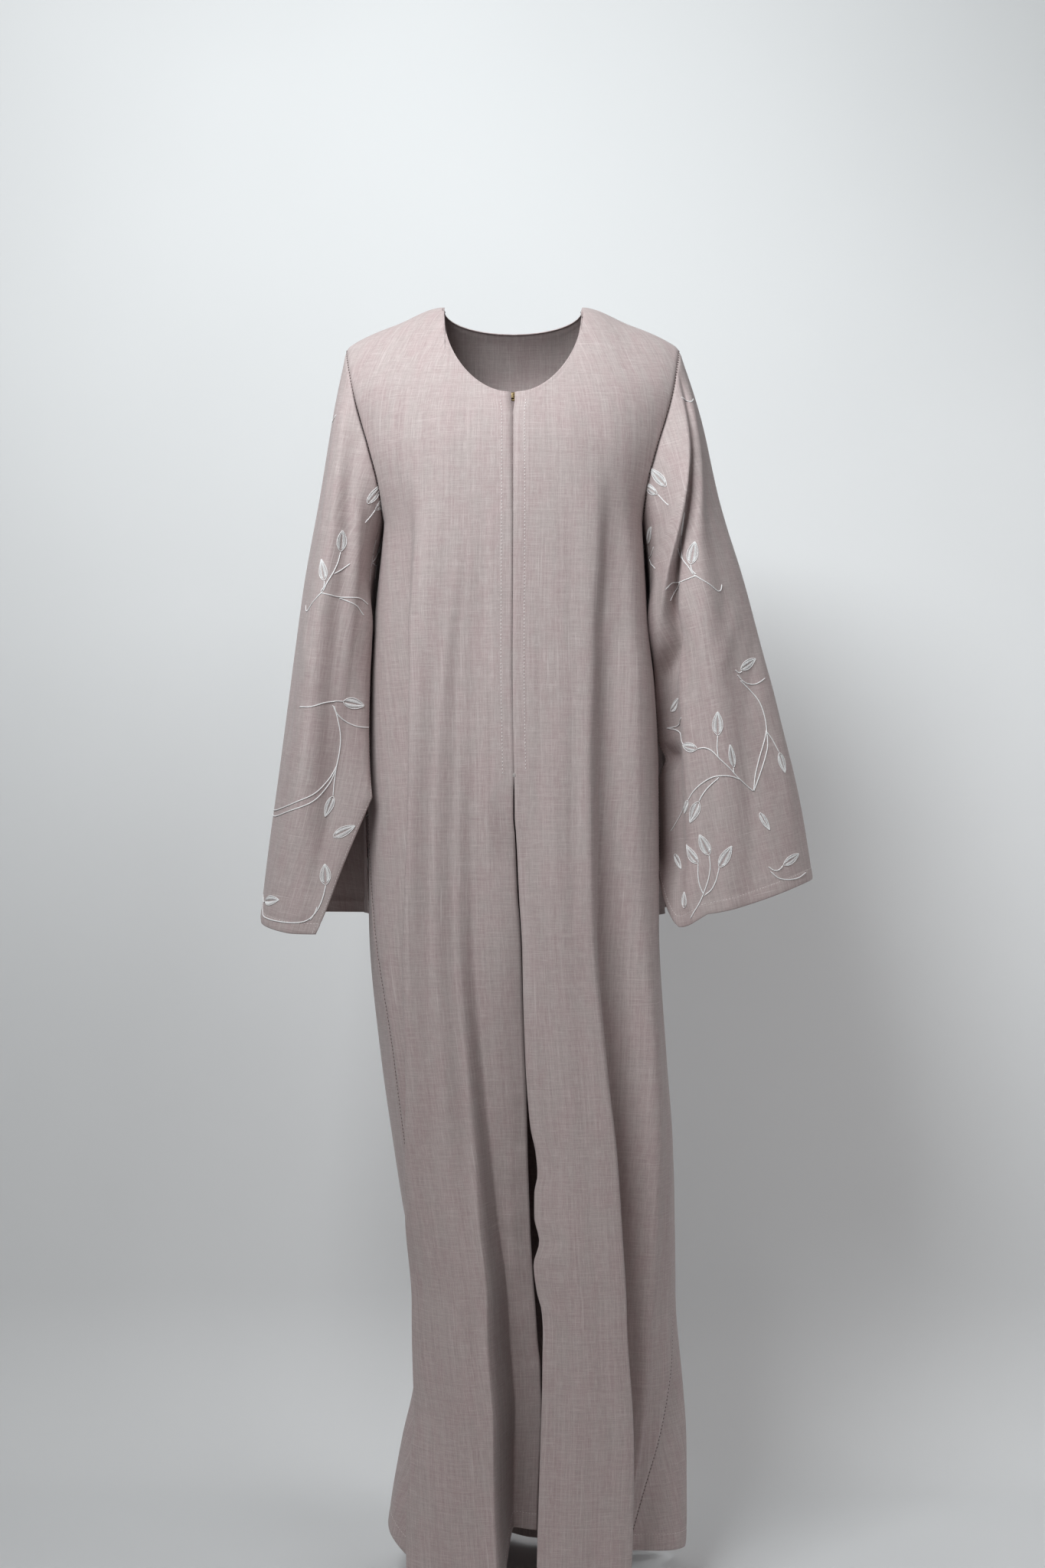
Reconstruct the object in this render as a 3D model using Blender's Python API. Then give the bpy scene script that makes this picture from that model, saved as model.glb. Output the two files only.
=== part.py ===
"""Abaya cloak: an ankle-long, zip-fronted cloak with wide, slit bell sleeves, in its worn, hollow form.

The frame's origin is the middle of the line between the two neck points of the shoulder seams.
+Z is up, -Y is the front and +X is the wearer's left. Sizes are in millimetres until add_object.

The body is one surface of rings below the armpits and of shoulder forms above them. Fold lines
run down that surface from the chest to the hem, and the panels' columns follow them, so that a
ridge or a valley is always a line of corners. Each sleeve is a tube of rings from the armhole to
the cuff, slit at the inner front from the elbow down. Cloth is a closed wall inside this surface.
"""

import bmesh
import bpy
import numpy as np
from mathutils import Matrix

MM_TO_M = 0.001
WALL = 2.0
TAPE_WALL = 1.0
SEAM_GAP = 0.3
ARMHOLE_GAP = 0.8
UPPER_ROWS = 9
LOWER_ROWS = 17
SLEEVE_ROWS = 13
SLEEVE_COLUMNS = 4 * UPPER_ROWS

# Heights of the cut, measured down from the neck points.
ARMPIT = -250.0
SHOULDER_POINT = -49.0

# The zip's tapes run between these heights.
ZIP_END = -540.0
ZIP_TOP = -128.0
TAPE_MARGIN = 0.06

# The zip's slider: a plate behind the front edges and a bridge that shows between them.
SLIDER_HEIGHT = -118.5
SLIDER_PLATE = (8.4, 1.8, 11.0)
SLIDER_BRIDGE = (2.6, 3.4, 7.0)
SLIDER_BEVEL = 0.5

NECK_HALF_WIDTH = 80.0
FRONT_NECK_DROP = 113.0
BACK_NECK_DROP = 22.0
SHOULDER_HALF_WIDTH = 192.0
ARMPIT_HALF_WIDTH = 148.0
UNDERARM_REACH = 12.0
SHOULDER_ROUNDING = 80.0

# The folds fade out between these heights, from the chest up.
FOLDS_FULL = -330.0
FOLDS_GONE = -180.0

# Where round the sleeve its slit is, above the elbow: 0 is the outer side and 90 the front.
SLIT_ANGLE = 160
SECTION_POWER = 2.2
ARMPIT_POWER = 2.6

# The section angle, in degrees, whose column ends where the neckline meets the shoulder seam.
NECK_CORNER = np.degrees(np.arcsin((NECK_HALF_WIDTH / SHOULDER_HALF_WIDTH) ** (ARMPIT_POWER / 2)))

# The body's plain section at each height: its side, front and back reach, and how square it is.
BODY_COLUMNS = ("height", "right", "left", "front", "back", "power")
BODY = (
    (-1466, -138, 186, 124, 166, SECTION_POWER),
    (-1386, -132, 192, 125, 160, SECTION_POWER),
    (-1312, -122, 193, 126, 154, SECTION_POWER),
    (-1240, -112, 190, 127, 148, SECTION_POWER),
    (-1138, -112, 184, 128, 140, SECTION_POWER),
    (-1033, -128, 184, 129, 132, SECTION_POWER),
    (-969, -137, 183, 129, 128, SECTION_POWER),
    (-866, -150, 175, 130, 122, SECTION_POWER),
    (-705, -165, 166, 131, 116, SECTION_POWER),
    (-530, -168, 166, 130, 112, SECTION_POWER),
    (-440, -165, 162, 128, 109, 2.3),
    (-360, -160, 154, 126.5, 107, 2.4),
    (ARMPIT, -ARMPIT_HALF_WIDTH, ARMPIT_HALF_WIDTH, 125, 106, ARMPIT_POWER),
)

# Above the armpits: how far forward and back the form reaches, the armhole's distance from the
# middle, and the half width at which the front would close if the armhole did not cut it.
CHEST_COLUMNS = ("height", "front", "back", "armhole", "closing", "power")
CHEST = (
    (ARMPIT, 125, 106, ARMPIT_HALF_WIDTH, ARMPIT_HALF_WIDTH, ARMPIT_POWER),
    (-215, 123.5, 105.5, 152, 161, 2.45),
    (-171, 119, 104, 163, 179, 2.3),
    (-138, 111, 100, 173, 191, SECTION_POWER),
    (-109, 99, 94, 181, 200, SECTION_POWER),
    (-80, 84, 86, 187, 205, SECTION_POWER),
    (SHOULDER_POINT, 67, 73, 192, 208, SECTION_POWER),
    (0, 50, 50, 192, 214, SECTION_POWER),
)

# The shoulder seam's fall from the neck point to the shoulder point.
SHOULDER_COLUMNS = ("across", "height")
SHOULDER = (
    (0, 0),
    (NECK_HALF_WIDTH, 0),
    (134, -20),
    (162, -31),
    (185, -43),
    (SHOULDER_HALF_WIDTH, SHOULDER_POINT),
)

# Fold lines down the body, round from the middle front by the wearer's left side and the back.
# angle_* is where a line runs and out_* how far it stands out of the plain section, at the five
# heights of FOLD_HEIGHTS. hem is its lower end's height, and cells the columns up to the next line.
FOLD_HEIGHTS = (-1440, -1140, -860, -530, -300)
FOLD_COLUMNS = (
    "name", "angle_hem", "angle_shin", "angle_knee", "angle_hip", "angle_chest",
    "out_hem", "out_shin", "out_knee", "out_hip", "out_chest", "hem", "cells",
)
FRONT_LEFT_FOLDS = (
    ("front edge", 0, -3, 0, 0, 0, 4, 2, -2, 0, 0, -1466, 4),
    ("lobe crest", 17, 16, 18, 20, NECK_CORNER, 13, 8, 4, 2, 1, -1466, 3),
    ("lobe edge", 33, 31, 30, 28, 31, 17, 13, 8, 5, 4, -1464, 3),
    ("lobe foot", 43, 40, 39, 37, 41, -52, -34, -18, -8, -4, -1432, 3),
    ("side fall", 46.5, 60, 64, 63, 66, -50, -14, -3, 0, 0, -1432, 3),
    ("side seam", 50, 80, 89, 90, 90, -44, 0, 0, 0, 0, -1434, 3),
)
BACK_FOLDS = (
    ("left side seam", 50, 80, 89, 90, 90, -44, 0, 0, 0, 0, -1434, 4),
    ("left flare", 84, 95, 100, 102, 105, 10, 5, 4, 3, 2, -1444, 3),
    ("back valley 1", 103, 112, 115, 117, 120, -30, -20, -11, -6, -2, -1456, 3),
    ("back ridge 1", 121, 127, 130, 131, 133, 22, 14, 8, 4, 1, -1462, 3),
    ("back valley 2", 139, 142, 144, 145, 146, -28, -19, -11, -6, -3, -1464, 3),
    ("back ridge 2", 157, 157, 157, 157, 180 - NECK_CORNER, 24, 15, 9, 4, 1, -1466, 4),
    ("back valley 3", 178, 179, 180, 180, 180, -26, -17, -10, -6, -3, -1466, 4),
    ("back ridge 3", 200, 201, 202, 202, 180 + NECK_CORNER, 24, 16, 10, 4, 1, -1466, 3),
    ("back valley 4", 219, 217, 216, 214, 213, -30, -20, -12, -6, -3, -1464, 3),
    ("back ridge 4", 237, 234, 231, 229, 227, 24, 15, 8, 4, 1, -1462, 3),
    ("back valley 5", 250, 246, 246, 244, 241, -24, -17, -9, -5, -2, -1446, 3),
    ("right flare", 264, 258, 260, 258, 256, 14, 3, 4, 3, 2, -1410, 4),
    ("right side seam", 294, 281, 290, 271, 270, -26, -14, -6, 0, 0, -1446, 3),
)
FRONT_RIGHT_FOLDS = (
    ("side seam", 294, 281, 290, 271, 270, -26, -14, -6, 0, 0, -1446, 3),
    ("lobe foot", 299.5, 287.5, 307, 314, 311, -24, -16, -16, -12, -7, -1452, 3),
    ("lobe edge", 306, 293.5, 313, 322, 322, 16, 10, 9, 7, 4, -1466, 3),
    ("lobe crest", 322, 318, 329, 335, 360 - NECK_CORNER, 12, 8, 5, 3, 1, -1466, 3),
    ("lobe fall", 343, 337, 342, 347, 349, -34, -10, -3, -1, 0, -1420, 3),
    ("front edge", 360, 357, 360, 360, 360, -56, -18, -3, 0, 0, -1402, 3),
)

# How far each front edge lies from the middle line: the neck notch that the slider shows in, the
# zipped length edge to edge, and the gape and the overlap of the open length below.
EDGE_COLUMNS = ("height", "left", "right")
EDGE_SETBACK = (
    (-1466, -4, 0),
    (-1290, 1, 0),
    (-1180, 7, 0),
    (-1110, 5, 0),
    (-1040, 8, 0),
    (-970, 7, 0),
    (-900, 1, 0),
    (-138, 0, 0),
    (-122, 1.9, 1.9),
    (0, 1.9, 1.9),
)

# The sleeves' rings: the outer and the inner end of each, its front and back reach, how much
# lower its front hangs, and the angles of the slit's two edges. along runs from armhole to cuff.
# Angles go from the outer end (0) over the front (90) to the inner end (180).
SLEEVE_TABLE_COLUMNS = (
    "along", "outer_x", "outer_z", "inner_x", "inner_z", "front", "back", "front_drop",
    "front_edge", "back_edge",
)
LEFT_SLEEVE = (
    (0.00, 192, -49, 148, -250, 52, 52, 0, SLIT_ANGLE, SLIT_ANGLE),
    (0.12, 215, -120, 154, -292, 70, 62, 0, SLIT_ANGLE, SLIT_ANGLE),
    (0.28, 234, -215, 160, -350, 82, 74, 0, SLIT_ANGLE, SLIT_ANGLE),
    (0.42, 262, -310, 166, -406, 88, 80, 0, 161, 161),
    (0.52, 279, -374, 170, -450, 89, 82, 0, 161, 166),
    (0.68, 303, -466, 173, -532, 88, 84, 0, 162, 172),
    (0.84, 327, -568, 174, -624, 84, 82, 2, 160, 174),
    (1.00, 342, -658, 176, -702, 80, 78, 8, 148, 176),
)
RIGHT_SLEEVE = (
    (0.00, 192, -49, 148, -250, 52, 52, 0, SLIT_ANGLE, SLIT_ANGLE),
    (0.12, 206, -120, 158, -292, 70, 62, 0, SLIT_ANGLE, SLIT_ANGLE),
    (0.28, 221, -215, 165, -350, 80, 74, 0, SLIT_ANGLE, SLIT_ANGLE),
    (0.42, 240, -322, 170, -410, 84, 80, 0, SLIT_ANGLE, SLIT_ANGLE),
    (0.52, 249, -392, 173, -455, 85, 82, 0, 158, 164),
    (0.68, 261, -494, 176, -535, 84, 84, 2, 150, 172),
    (0.84, 275, -605, 176, -622, 82, 82, 8, 125, 180),
    (1.00, 287, -705, 175, -700, 80, 78, 16, 94, 184),
)

# Fold lines along each sleeve, at the four places of SLEEVE_FOLD_ALONG.
SLEEVE_FOLD_ALONG = (0.0, 0.28, 0.65, 1.0)
SLEEVE_FOLD_COLUMNS = (
    "name", "angle_top", "angle_arm", "angle_elbow", "angle_cuff",
    "out_top", "out_arm", "out_elbow", "out_cuff",
)
LEFT_SLEEVE_FOLDS = (
    ("shoulder lobe", 75, 135, 160, 164, 0, 14, 3, 0),
    ("deep valley", 50, 111, 139, 144, 0, -15, -18, -3),
    ("outer face", 30, 84, 108, 112, 0, 7, 7, 6),
    ("face dip", 8, 40, 55, 58, 0, -4, -4, -5),
    ("outer edge", -22, 4, 10, 12, 0, 2, 3, 4),
    ("back valley 1", -55, -42, -40, -44, 0, -6, -10, -10),
    ("back ridge", -92, -86, -84, -86, 0, 5, 8, 10),
    ("back valley 2", -125, -124, -124, -126, 0, -4, -8, -10),
    ("inner edge", -160, -164, -168, -170, 0, 0, 1, 2),
)
RIGHT_SLEEVE_FOLDS = (
    ("inner front", 110, 132, 146, 150, 0, 4, 3, 0),
    ("front valley", 78, 100, 108, 120, 0, -8, -5, 0),
    ("outer face", 44, 62, 70, 74, 0, 6, 5, 5),
    ("face dip", 12, 26, 34, 38, 0, -5, -5, -6),
    ("outer edge", -20, -4, 4, 6, 0, 2, 3, 4),
    ("back valley 1", -55, -44, -42, -44, 0, -6, -9, -10),
    ("back ridge", -92, -88, -86, -84, 0, 5, 8, 10),
    ("back valley 2", -125, -126, -126, -124, 0, -4, -8, -9),
    ("inner edge", -160, -164, -168, -170, 0, 0, 1, 2),
)


def column(table, names, name):
    """One named column of a table as an array."""
    return np.array([row[names.index(name)] for row in table], float)


def smooth(at, knots, values):
    """A curve through (knots, values) with no overshoot. knots may rise or fall."""
    knots = np.asarray(knots, float)
    values = np.asarray(values, float)
    if knots[0] > knots[-1]:
        knots = knots[::-1]
        values = values[::-1]
    at = np.clip(at, knots[0], knots[-1])
    width = np.diff(knots)
    slope = np.diff(values) / width
    turn = slope[:-1] * slope[1:]
    together = slope[:-1] + slope[1:]
    safe = np.where(together == 0, 1, together)
    inner = np.where(turn > 0, 2 * turn / safe, 0)
    lean = np.concatenate([slope[:1], inner, slope[-1:]])
    cell = np.clip(np.searchsorted(knots, at, side="right") - 1, 0, len(width) - 1)
    t = (at - knots[cell]) / width[cell]
    start = values[cell] * (1 + 2 * t) * (1 - t) ** 2 + values[cell + 1] * t**2 * (3 - 2 * t)
    return start + width[cell] * (lean[cell] * t * (1 - t) ** 2 - lean[cell + 1] * t**2 * (1 - t))


def ease(t):
    return 0.5 - 0.5 * np.cos(np.pi * np.clip(t, 0, 1))


def read(table, names, name, at, key):
    return smooth(at, column(table, names, key), column(table, names, name))


def signed_power(value, power):
    return np.sign(value) * np.abs(value) ** power


class FoldLines:
    """Lines down a panel. u counts them: 0 is the first line, 1 the second, and so on."""

    def __init__(self, table):
        self.table = table
        self.count = len(table)

    def stops(self):
        """The panel's columns, as values of u."""
        found = [0.0]
        for line, row in enumerate(self.table[:-1]):
            cells = row[FOLD_COLUMNS.index("cells")]
            found += [line + step / cells for step in range(1, cells + 1)]
        return np.array(found)

    def between(self, u, per_line, eased):
        line = np.minimum(np.floor(u).astype(int), self.count - 2)
        part = u - line
        part = ease(part) if eased else part
        take = np.arange(len(per_line[0]))
        return per_line[line, take] * (1 - part) + per_line[line + 1, take] * part

    def at(self, u, height, kind, eased):
        names = [f"{kind}_{place}" for place in ("hem", "shin", "knee", "hip", "chest")]
        rows = [[row[FOLD_COLUMNS.index(name)] for name in names] for row in self.table]
        per_line = np.array([smooth(height, FOLD_HEIGHTS, row) for row in rows])
        return self.between(u, per_line, eased)

    def angle(self, u, height):
        return np.radians(self.at(u, height, "angle", False))

    def out(self, u, height):
        """How far the folds stand out. They fade away over the chest."""
        fade = 1 - ease((height - FOLDS_FULL) / (FOLDS_GONE - FOLDS_FULL))
        return fade * self.at(u, height, "out", True)

    def hem(self, u):
        ends = column(self.table, FOLD_COLUMNS, "hem")
        per_line = np.repeat(ends[:, None], len(u), axis=1)
        return self.between(u, per_line, True)


def ring_points(lines, u, height):
    """Points of the body below the armpits."""
    right = read(BODY, BODY_COLUMNS, "right", height, "height")
    left = read(BODY, BODY_COLUMNS, "left", height, "height")
    front = read(BODY, BODY_COLUMNS, "front", height, "height")
    back = read(BODY, BODY_COLUMNS, "back", height, "height")
    power = read(BODY, BODY_COLUMNS, "power", height, "height")
    angle = lines.angle(u, height)
    middle = (left + right) / 2
    half = (left - right) / 2
    across = signed_power(np.sin(angle), 2 / power)
    forward = signed_power(np.cos(angle), 2 / power)
    depth = np.where(forward > 0, front, back)
    slope = power - 1
    normal = np.stack([signed_power(across, slope) / half, -signed_power(forward, slope) / depth], -1)
    normal /= np.linalg.norm(normal, axis=-1, keepdims=True)
    out = lines.out(u, height)
    x = middle + half * across + out * normal[..., 0]
    y = -depth * forward + out * normal[..., 1]
    return np.stack([x, y, height], -1)


def neck_height(across, drop):
    return -drop * np.sqrt(np.clip(1 - (across / NECK_HALF_WIDTH) ** 2, 0, 1))


def shoulder_height(across):
    return read(SHOULDER, SHOULDER_COLUMNS, "height", np.abs(across), "across")


def shoulder_points(lines, u, t, is_back):
    """Points of the body above the armpits. t runs from the armpit (0) to the neck and shoulder (1)."""
    base = np.full_like(u, ARMPIT)
    angle = lines.angle(u, base)
    spread = signed_power(np.sin(angle), 2 / ARMPIT_POWER)
    top_across = SHOULDER_HALF_WIDTH * spread
    drop = BACK_NECK_DROP if is_back else FRONT_NECK_DROP
    inside_neck = np.abs(top_across) < NECK_HALF_WIDTH - 0.01
    top = np.where(inside_neck, neck_height(top_across, drop), shoulder_height(top_across))
    edge_height = ARMPIT + (SHOULDER_POINT - ARMPIT) * t
    armhole = read(CHEST, CHEST_COLUMNS, "armhole", edge_height, "height")
    x = spread * armhole
    z = ARMPIT + (top - ARMPIT) * t
    reach = read(CHEST, CHEST_COLUMNS, "back" if is_back else "front", z, "height")
    closing = read(CHEST, CHEST_COLUMNS, "closing", z, "height")
    power = read(CHEST, CHEST_COLUMNS, "power", z, "height")
    below = np.clip((shoulder_height(x) - z) / SHOULDER_ROUNDING, 0, 1)
    rounding = np.sqrt(1 - (1 - below) ** 2)
    side = np.clip(1 - np.abs(x / closing) ** power, 0, 1) ** (1 / power)
    depth = reach * rounding * side + lines.out(u, z)
    return np.stack([x, depth if is_back else -depth, z], -1)


def upper_steps():
    """Rows above the armpits, close together at both ends of the armhole."""
    return ease(np.arange(1, UPPER_ROWS + 1) / UPPER_ROWS)


def set_back_edge(points, grid_column, side):
    """Moves one front edge from the middle line by the setback at its height."""
    heights = points[:, grid_column, 2]
    name = "left" if side > 0 else "right"
    setback = read(EDGE_SETBACK, EDGE_COLUMNS, name, heights, "height")
    points[:, grid_column, 0] += side * setback


def body_grid(table):
    """A panel's points, rows from the hem up and columns along its fold lines."""
    lines = FoldLines(table)
    u = lines.stops()
    hem = lines.hem(u)
    rows = []
    for step in range(LOWER_ROWS + 1):
        rows.append(ring_points(lines, u, hem + (ARMPIT - hem) * step / LOWER_ROWS))
    for t in upper_steps():
        rows.append(shoulder_points(lines, u, np.full_like(u, t), table is BACK_FOLDS))
    return np.array(rows)


def sleeve_folds_out(table, angle, along):
    """The folds' height at an angle round the sleeve."""
    angles = []
    outs = []
    for row in table:
        angles.append(smooth(along, SLEEVE_FOLD_ALONG, row[1:5]))
        outs.append(smooth(along, SLEEVE_FOLD_ALONG, row[5:9]))
    order = np.argsort(angles)
    angles = np.array(angles)[order]
    outs = np.array(outs)[order]
    angles = np.concatenate([[angles[-1] - 360], angles, [angles[0] + 360]])
    outs = np.concatenate([[outs[-1]], outs, [outs[0]]])
    turned = (angle - angles[0]) % 360 + angles[0]
    cell = np.clip(np.searchsorted(angles, turned, side="right") - 1, 0, len(angles) - 2)
    part = ease((turned - angles[cell]) / (angles[cell + 1] - angles[cell]))
    return outs[cell] * (1 - part) + outs[cell + 1] * part


def sleeve_ring(table, folds, along, side):
    """One ring of a sleeve, from the slit's front edge over the front, outer side and back."""
    def get(name):
        return float(read(table, SLEEVE_TABLE_COLUMNS, name, along, "along"))

    turn = np.arange(SLEEVE_COLUMNS + 1) / SLEEVE_COLUMNS
    angle = get("front_edge") + turn * (get("back_edge") - 360 - get("front_edge"))
    radians = np.radians(angle)
    outer = np.array([get("outer_x"), get("outer_z")])
    inner = np.array([get("inner_x"), get("inner_z")])
    across = np.cos(radians)
    forward = np.sin(radians)
    depth = np.where(forward > 0, get("front"), get("back"))
    out = sleeve_folds_out(folds, angle, along)
    middle = (outer + inner) / 2
    half = (outer - inner) / 2
    width = np.hypot(*half)
    x = middle[0] + half[0] * across * (1 + out / width)
    z = middle[1] + half[1] * across - get("front_drop") * np.clip(forward, 0, 1) ** 2
    y = -(depth + out) * forward
    return np.stack([side * x, y, z], -1)


def armhole_ring(front, back, side):
    """The sleeve's top ring: the two panels' armhole edges, with one more point on each stretch."""
    front_edge = front[LOWER_ROWS:, -1 if side > 0 else 0]
    back_edge = back[LOWER_ROWS:, 0 if side > 0 else -1]
    # From the shoulder point over the front to the armpit, then over the back to the shoulder.
    loop = np.concatenate([front_edge[::-1], back_edge[1:]])
    halfway = (loop[:-1] + loop[1:]) / 2
    fine = np.empty((len(loop) * 2 - 1, 3))
    fine[::2] = loop
    fine[1::2] = halfway
    # The ring starts at the slit's angle and runs the other way round.
    slit = round(SLIT_ANGLE / 360 * SLEEVE_COLUMNS)
    order = (slit - np.arange(SLEEVE_COLUMNS + 1)) % SLEEVE_COLUMNS
    return fine[order]


def sleeve_grid(table, folds, front, back, side):
    rows = [armhole_ring(front, back, side)]
    for step in range(1, SLEEVE_ROWS + 1):
        rows.append(sleeve_ring(table, folds, step / SLEEVE_ROWS, side))
    return np.array(rows)


def grid_faces(rows, columns, turned):
    faces = []
    for r in range(rows - 1):
        for c in range(columns - 1):
            a = r * columns + c
            face = (a, a + 1, a + columns + 1, a + columns)
            faces.append(face[::-1] if turned else face)
    return faces


def closed_columns(table):
    """Rows of a sleeve above its slit, where the last column meets the first."""
    closed = []
    for step in range(SLEEVE_ROWS + 1):
        along = step / SLEEVE_ROWS
        front_edge = read(table, SLEEVE_TABLE_COLUMNS, "front_edge", along, "along")
        back_edge = read(table, SLEEVE_TABLE_COLUMNS, "back_edge", along, "along")
        closed.append(back_edge - front_edge < 0.5)
    return closed


def weld(faces, rows, columns, closed):
    """Makes the last column's corners the first column's on the closed rows."""
    same = {r * columns + columns - 1: r * columns for r in range(rows) if closed[r]}
    return [tuple(same.get(corner, corner) for corner in face) for face in faces]


def shared_normals(panels):
    """Normals at each panel's points, worked out over all the panels together."""
    points = np.concatenate([panel["points"] for panel in panels])
    starts = np.cumsum([0] + [len(panel["points"]) for panel in panels])
    _, spot = np.unique(np.round(points, 2), axis=0, return_inverse=True)
    spot = spot.reshape(-1)
    total = np.zeros((spot.max() + 1, 3))
    for panel, start in zip(panels, starts):
        for face in panel["faces"]:
            corners = panel["points"][list(face)]
            normal = np.cross(corners[2] - corners[0], corners[3] - corners[1])
            for corner in face:
                total[spot[start + corner]] += normal
    # At the armpit the body's side and the sleeve face each other, and outside is below. The
    # armhole's next corners lean half that way.
    above = points[:, 2] - ARMPIT
    at_side = np.abs(np.abs(points[:, 0]) - ARMPIT_HALF_WIDTH) < UNDERARM_REACH / 4
    under = np.unique(spot[at_side & (above > 0.1) & (above < UNDERARM_REACH)])
    total[under] /= np.linalg.norm(total[under], axis=1, keepdims=True)
    total[under] += (0, 0, -1)
    total[spot[(np.abs(points[:, 1]) < 0.1) & (np.abs(above) < 0.1)]] = (0, 0, -1)
    # Along the shoulder seams the front and the back lean on one upright plane.
    on_shoulder = (np.abs(points[:, 1]) < 0.1) & (points[:, 2] > SHOULDER_POINT - 0.1)
    total[spot[on_shoulder], 1] = 0
    length = np.linalg.norm(total, axis=1, keepdims=True)
    total /= np.where(length == 0, 1, length)
    for panel, start in zip(panels, starts):
        panel["normals"] = total[spot[start:start + len(panel["points"])]]


def even_halfway_normals(normals):
    """Keeps a sleeve's halfway corners in line with the armhole's own, inside as well as outside."""
    normals[1:SLEEVE_COLUMNS:2] = (
        normals[0:SLEEVE_COLUMNS:2] + normals[2:SLEEVE_COLUMNS + 1:2]
    ) / 2


def wall_mesh(outer, inner, faces):
    """A closed wall between an outer and an inner sheet with the same faces."""
    count = len(outer)
    all_faces = [tuple(face) for face in faces]
    all_faces += [tuple(corner + count for corner in face[::-1]) for face in faces]
    edges = {}
    for face in faces:
        for start, end in zip(face, face[1:] + face[:1]):
            edges[(start, end)] = edges.get((start, end), 0) + 1
    for start, end in edges:
        if (end, start) not in edges:
            all_faces.append((end, start, start + count, end + count))
    return np.concatenate([outer, inner]), all_faces


def used_only(points, faces):
    """Drops points that no face uses."""
    kept = sorted({corner for face in faces for corner in face})
    new = {old: index for index, old in enumerate(kept)}
    return points[kept], [tuple(new[corner] for corner in face) for face in faces]


def cloth_material(name, color, roughness):
    material = bpy.data.materials.new(name)
    material.use_nodes = True
    shader = material.node_tree.nodes["Principled BSDF"]
    shader.inputs["Base Color"].default_value = (*color, 1)
    shader.inputs["Roughness"].default_value = roughness
    return material


def brass_material():
    material = cloth_material("antique brass", (0.55, 0.41, 0.2), 0.35)
    material.node_tree.nodes["Principled BSDF"].inputs["Metallic"].default_value = 1
    return material


def add_object(name, points, faces, material):
    mesh = bpy.data.meshes.new(name)
    mesh.from_pydata((points * MM_TO_M).tolist(), [], faces)
    mesh.validate()
    mesh.shade_smooth()
    mesh.materials.append(material)
    obj = bpy.data.objects.new(name, mesh)
    bpy.context.scene.collection.objects.link(obj)
    return obj


def shift_body_seams(name, points, grid):
    """Opens the gap at a body panel's seams: sides, shoulders, armholes and the zipped edges."""
    half = SEAM_GAP / 2
    moved = points.reshape(grid.shape).copy()
    toward_back = 1 if name == "back" else -1
    top = moved[-1]
    on_shoulder = np.abs(grid[-1][:, 0]) > NECK_HALF_WIDTH - 0.5
    top[on_shoulder, 1] += toward_back * half
    for edge, neighbour in ((0, 1), (-1, -2)):
        along = grid[: LOWER_ROWS + 1, neighbour, :2] - grid[: LOWER_ROWS + 1, edge, :2]
        along /= np.linalg.norm(along, axis=1, keepdims=True)
        moved[: LOWER_ROWS + 1, edge, :2] += along * half
    for edge in (0, -1):
        is_armhole = abs(grid[-1][edge][0]) > NECK_HALF_WIDTH
        rows = slice(LOWER_ROWS, None) if is_armhole else slice(LOWER_ROWS + 1, None)
        if is_armhole:
            moved[rows, edge, 0] -= np.sign(grid[-1][edge][0]) * ARMHOLE_GAP / 2
        else:
            moved[rows, edge, 0] += half if edge == 0 else -half
    return moved.reshape(-1, 3)


def make_cloth():
    fabric = cloth_material("dusty mauve linen", (0.42, 0.35, 0.33), 0.85)
    front_left = body_grid(FRONT_LEFT_FOLDS)
    front_right = body_grid(FRONT_RIGHT_FOLDS)
    back = body_grid(BACK_FOLDS)
    sleeve_left = sleeve_grid(LEFT_SLEEVE, LEFT_SLEEVE_FOLDS, front_left, back, 1)
    sleeve_right = sleeve_grid(RIGHT_SLEEVE, RIGHT_SLEEVE_FOLDS, front_right, back, -1)
    set_back_edge(front_left, 0, 1)
    set_back_edge(front_right, -1, -1)

    panels = []
    for name, grid in (("front_left", front_left), ("back", back), ("front_right", front_right)):
        faces = grid_faces(*grid.shape[:2], False)
        panels.append({"name": name, "grid": grid, "points": grid.reshape(-1, 3), "faces": faces})
    for name, grid, table, side in (
        ("sleeve_left", sleeve_left, LEFT_SLEEVE, 1),
        ("sleeve_right", sleeve_right, RIGHT_SLEEVE, -1),
    ):
        faces = grid_faces(*grid.shape[:2], side > 0)
        faces = weld(faces, *grid.shape[:2], closed_columns(table))
        panels.append({"name": name, "grid": grid, "points": grid.reshape(-1, 3), "faces": faces})
    shared_normals(panels)

    for panel in panels:
        points = panel["points"].copy()
        if panel["name"].startswith("sleeve"):
            side = 1 if panel["name"] == "sleeve_left" else -1
            down = panel["grid"][1] - panel["grid"][0]
            down /= np.linalg.norm(down, axis=1, keepdims=True)
            points[: SLEEVE_COLUMNS + 1] += down * ARMHOLE_GAP / 2
            points[: SLEEVE_COLUMNS + 1, 0] += side * ARMHOLE_GAP / 2
            even_halfway_normals(panel["normals"])
        else:
            points = shift_body_seams(panel["name"], points, panel["grid"])
        panel["outer"] = points
        panel["inner"] = points - WALL * panel["normals"]
        solid, faces = wall_mesh(points, panel["inner"], panel["faces"])
        solid, faces = used_only(solid, faces)
        add_object(panel["name"], solid, faces, fabric)
    return {panel["name"]: panel for panel in panels}


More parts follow.
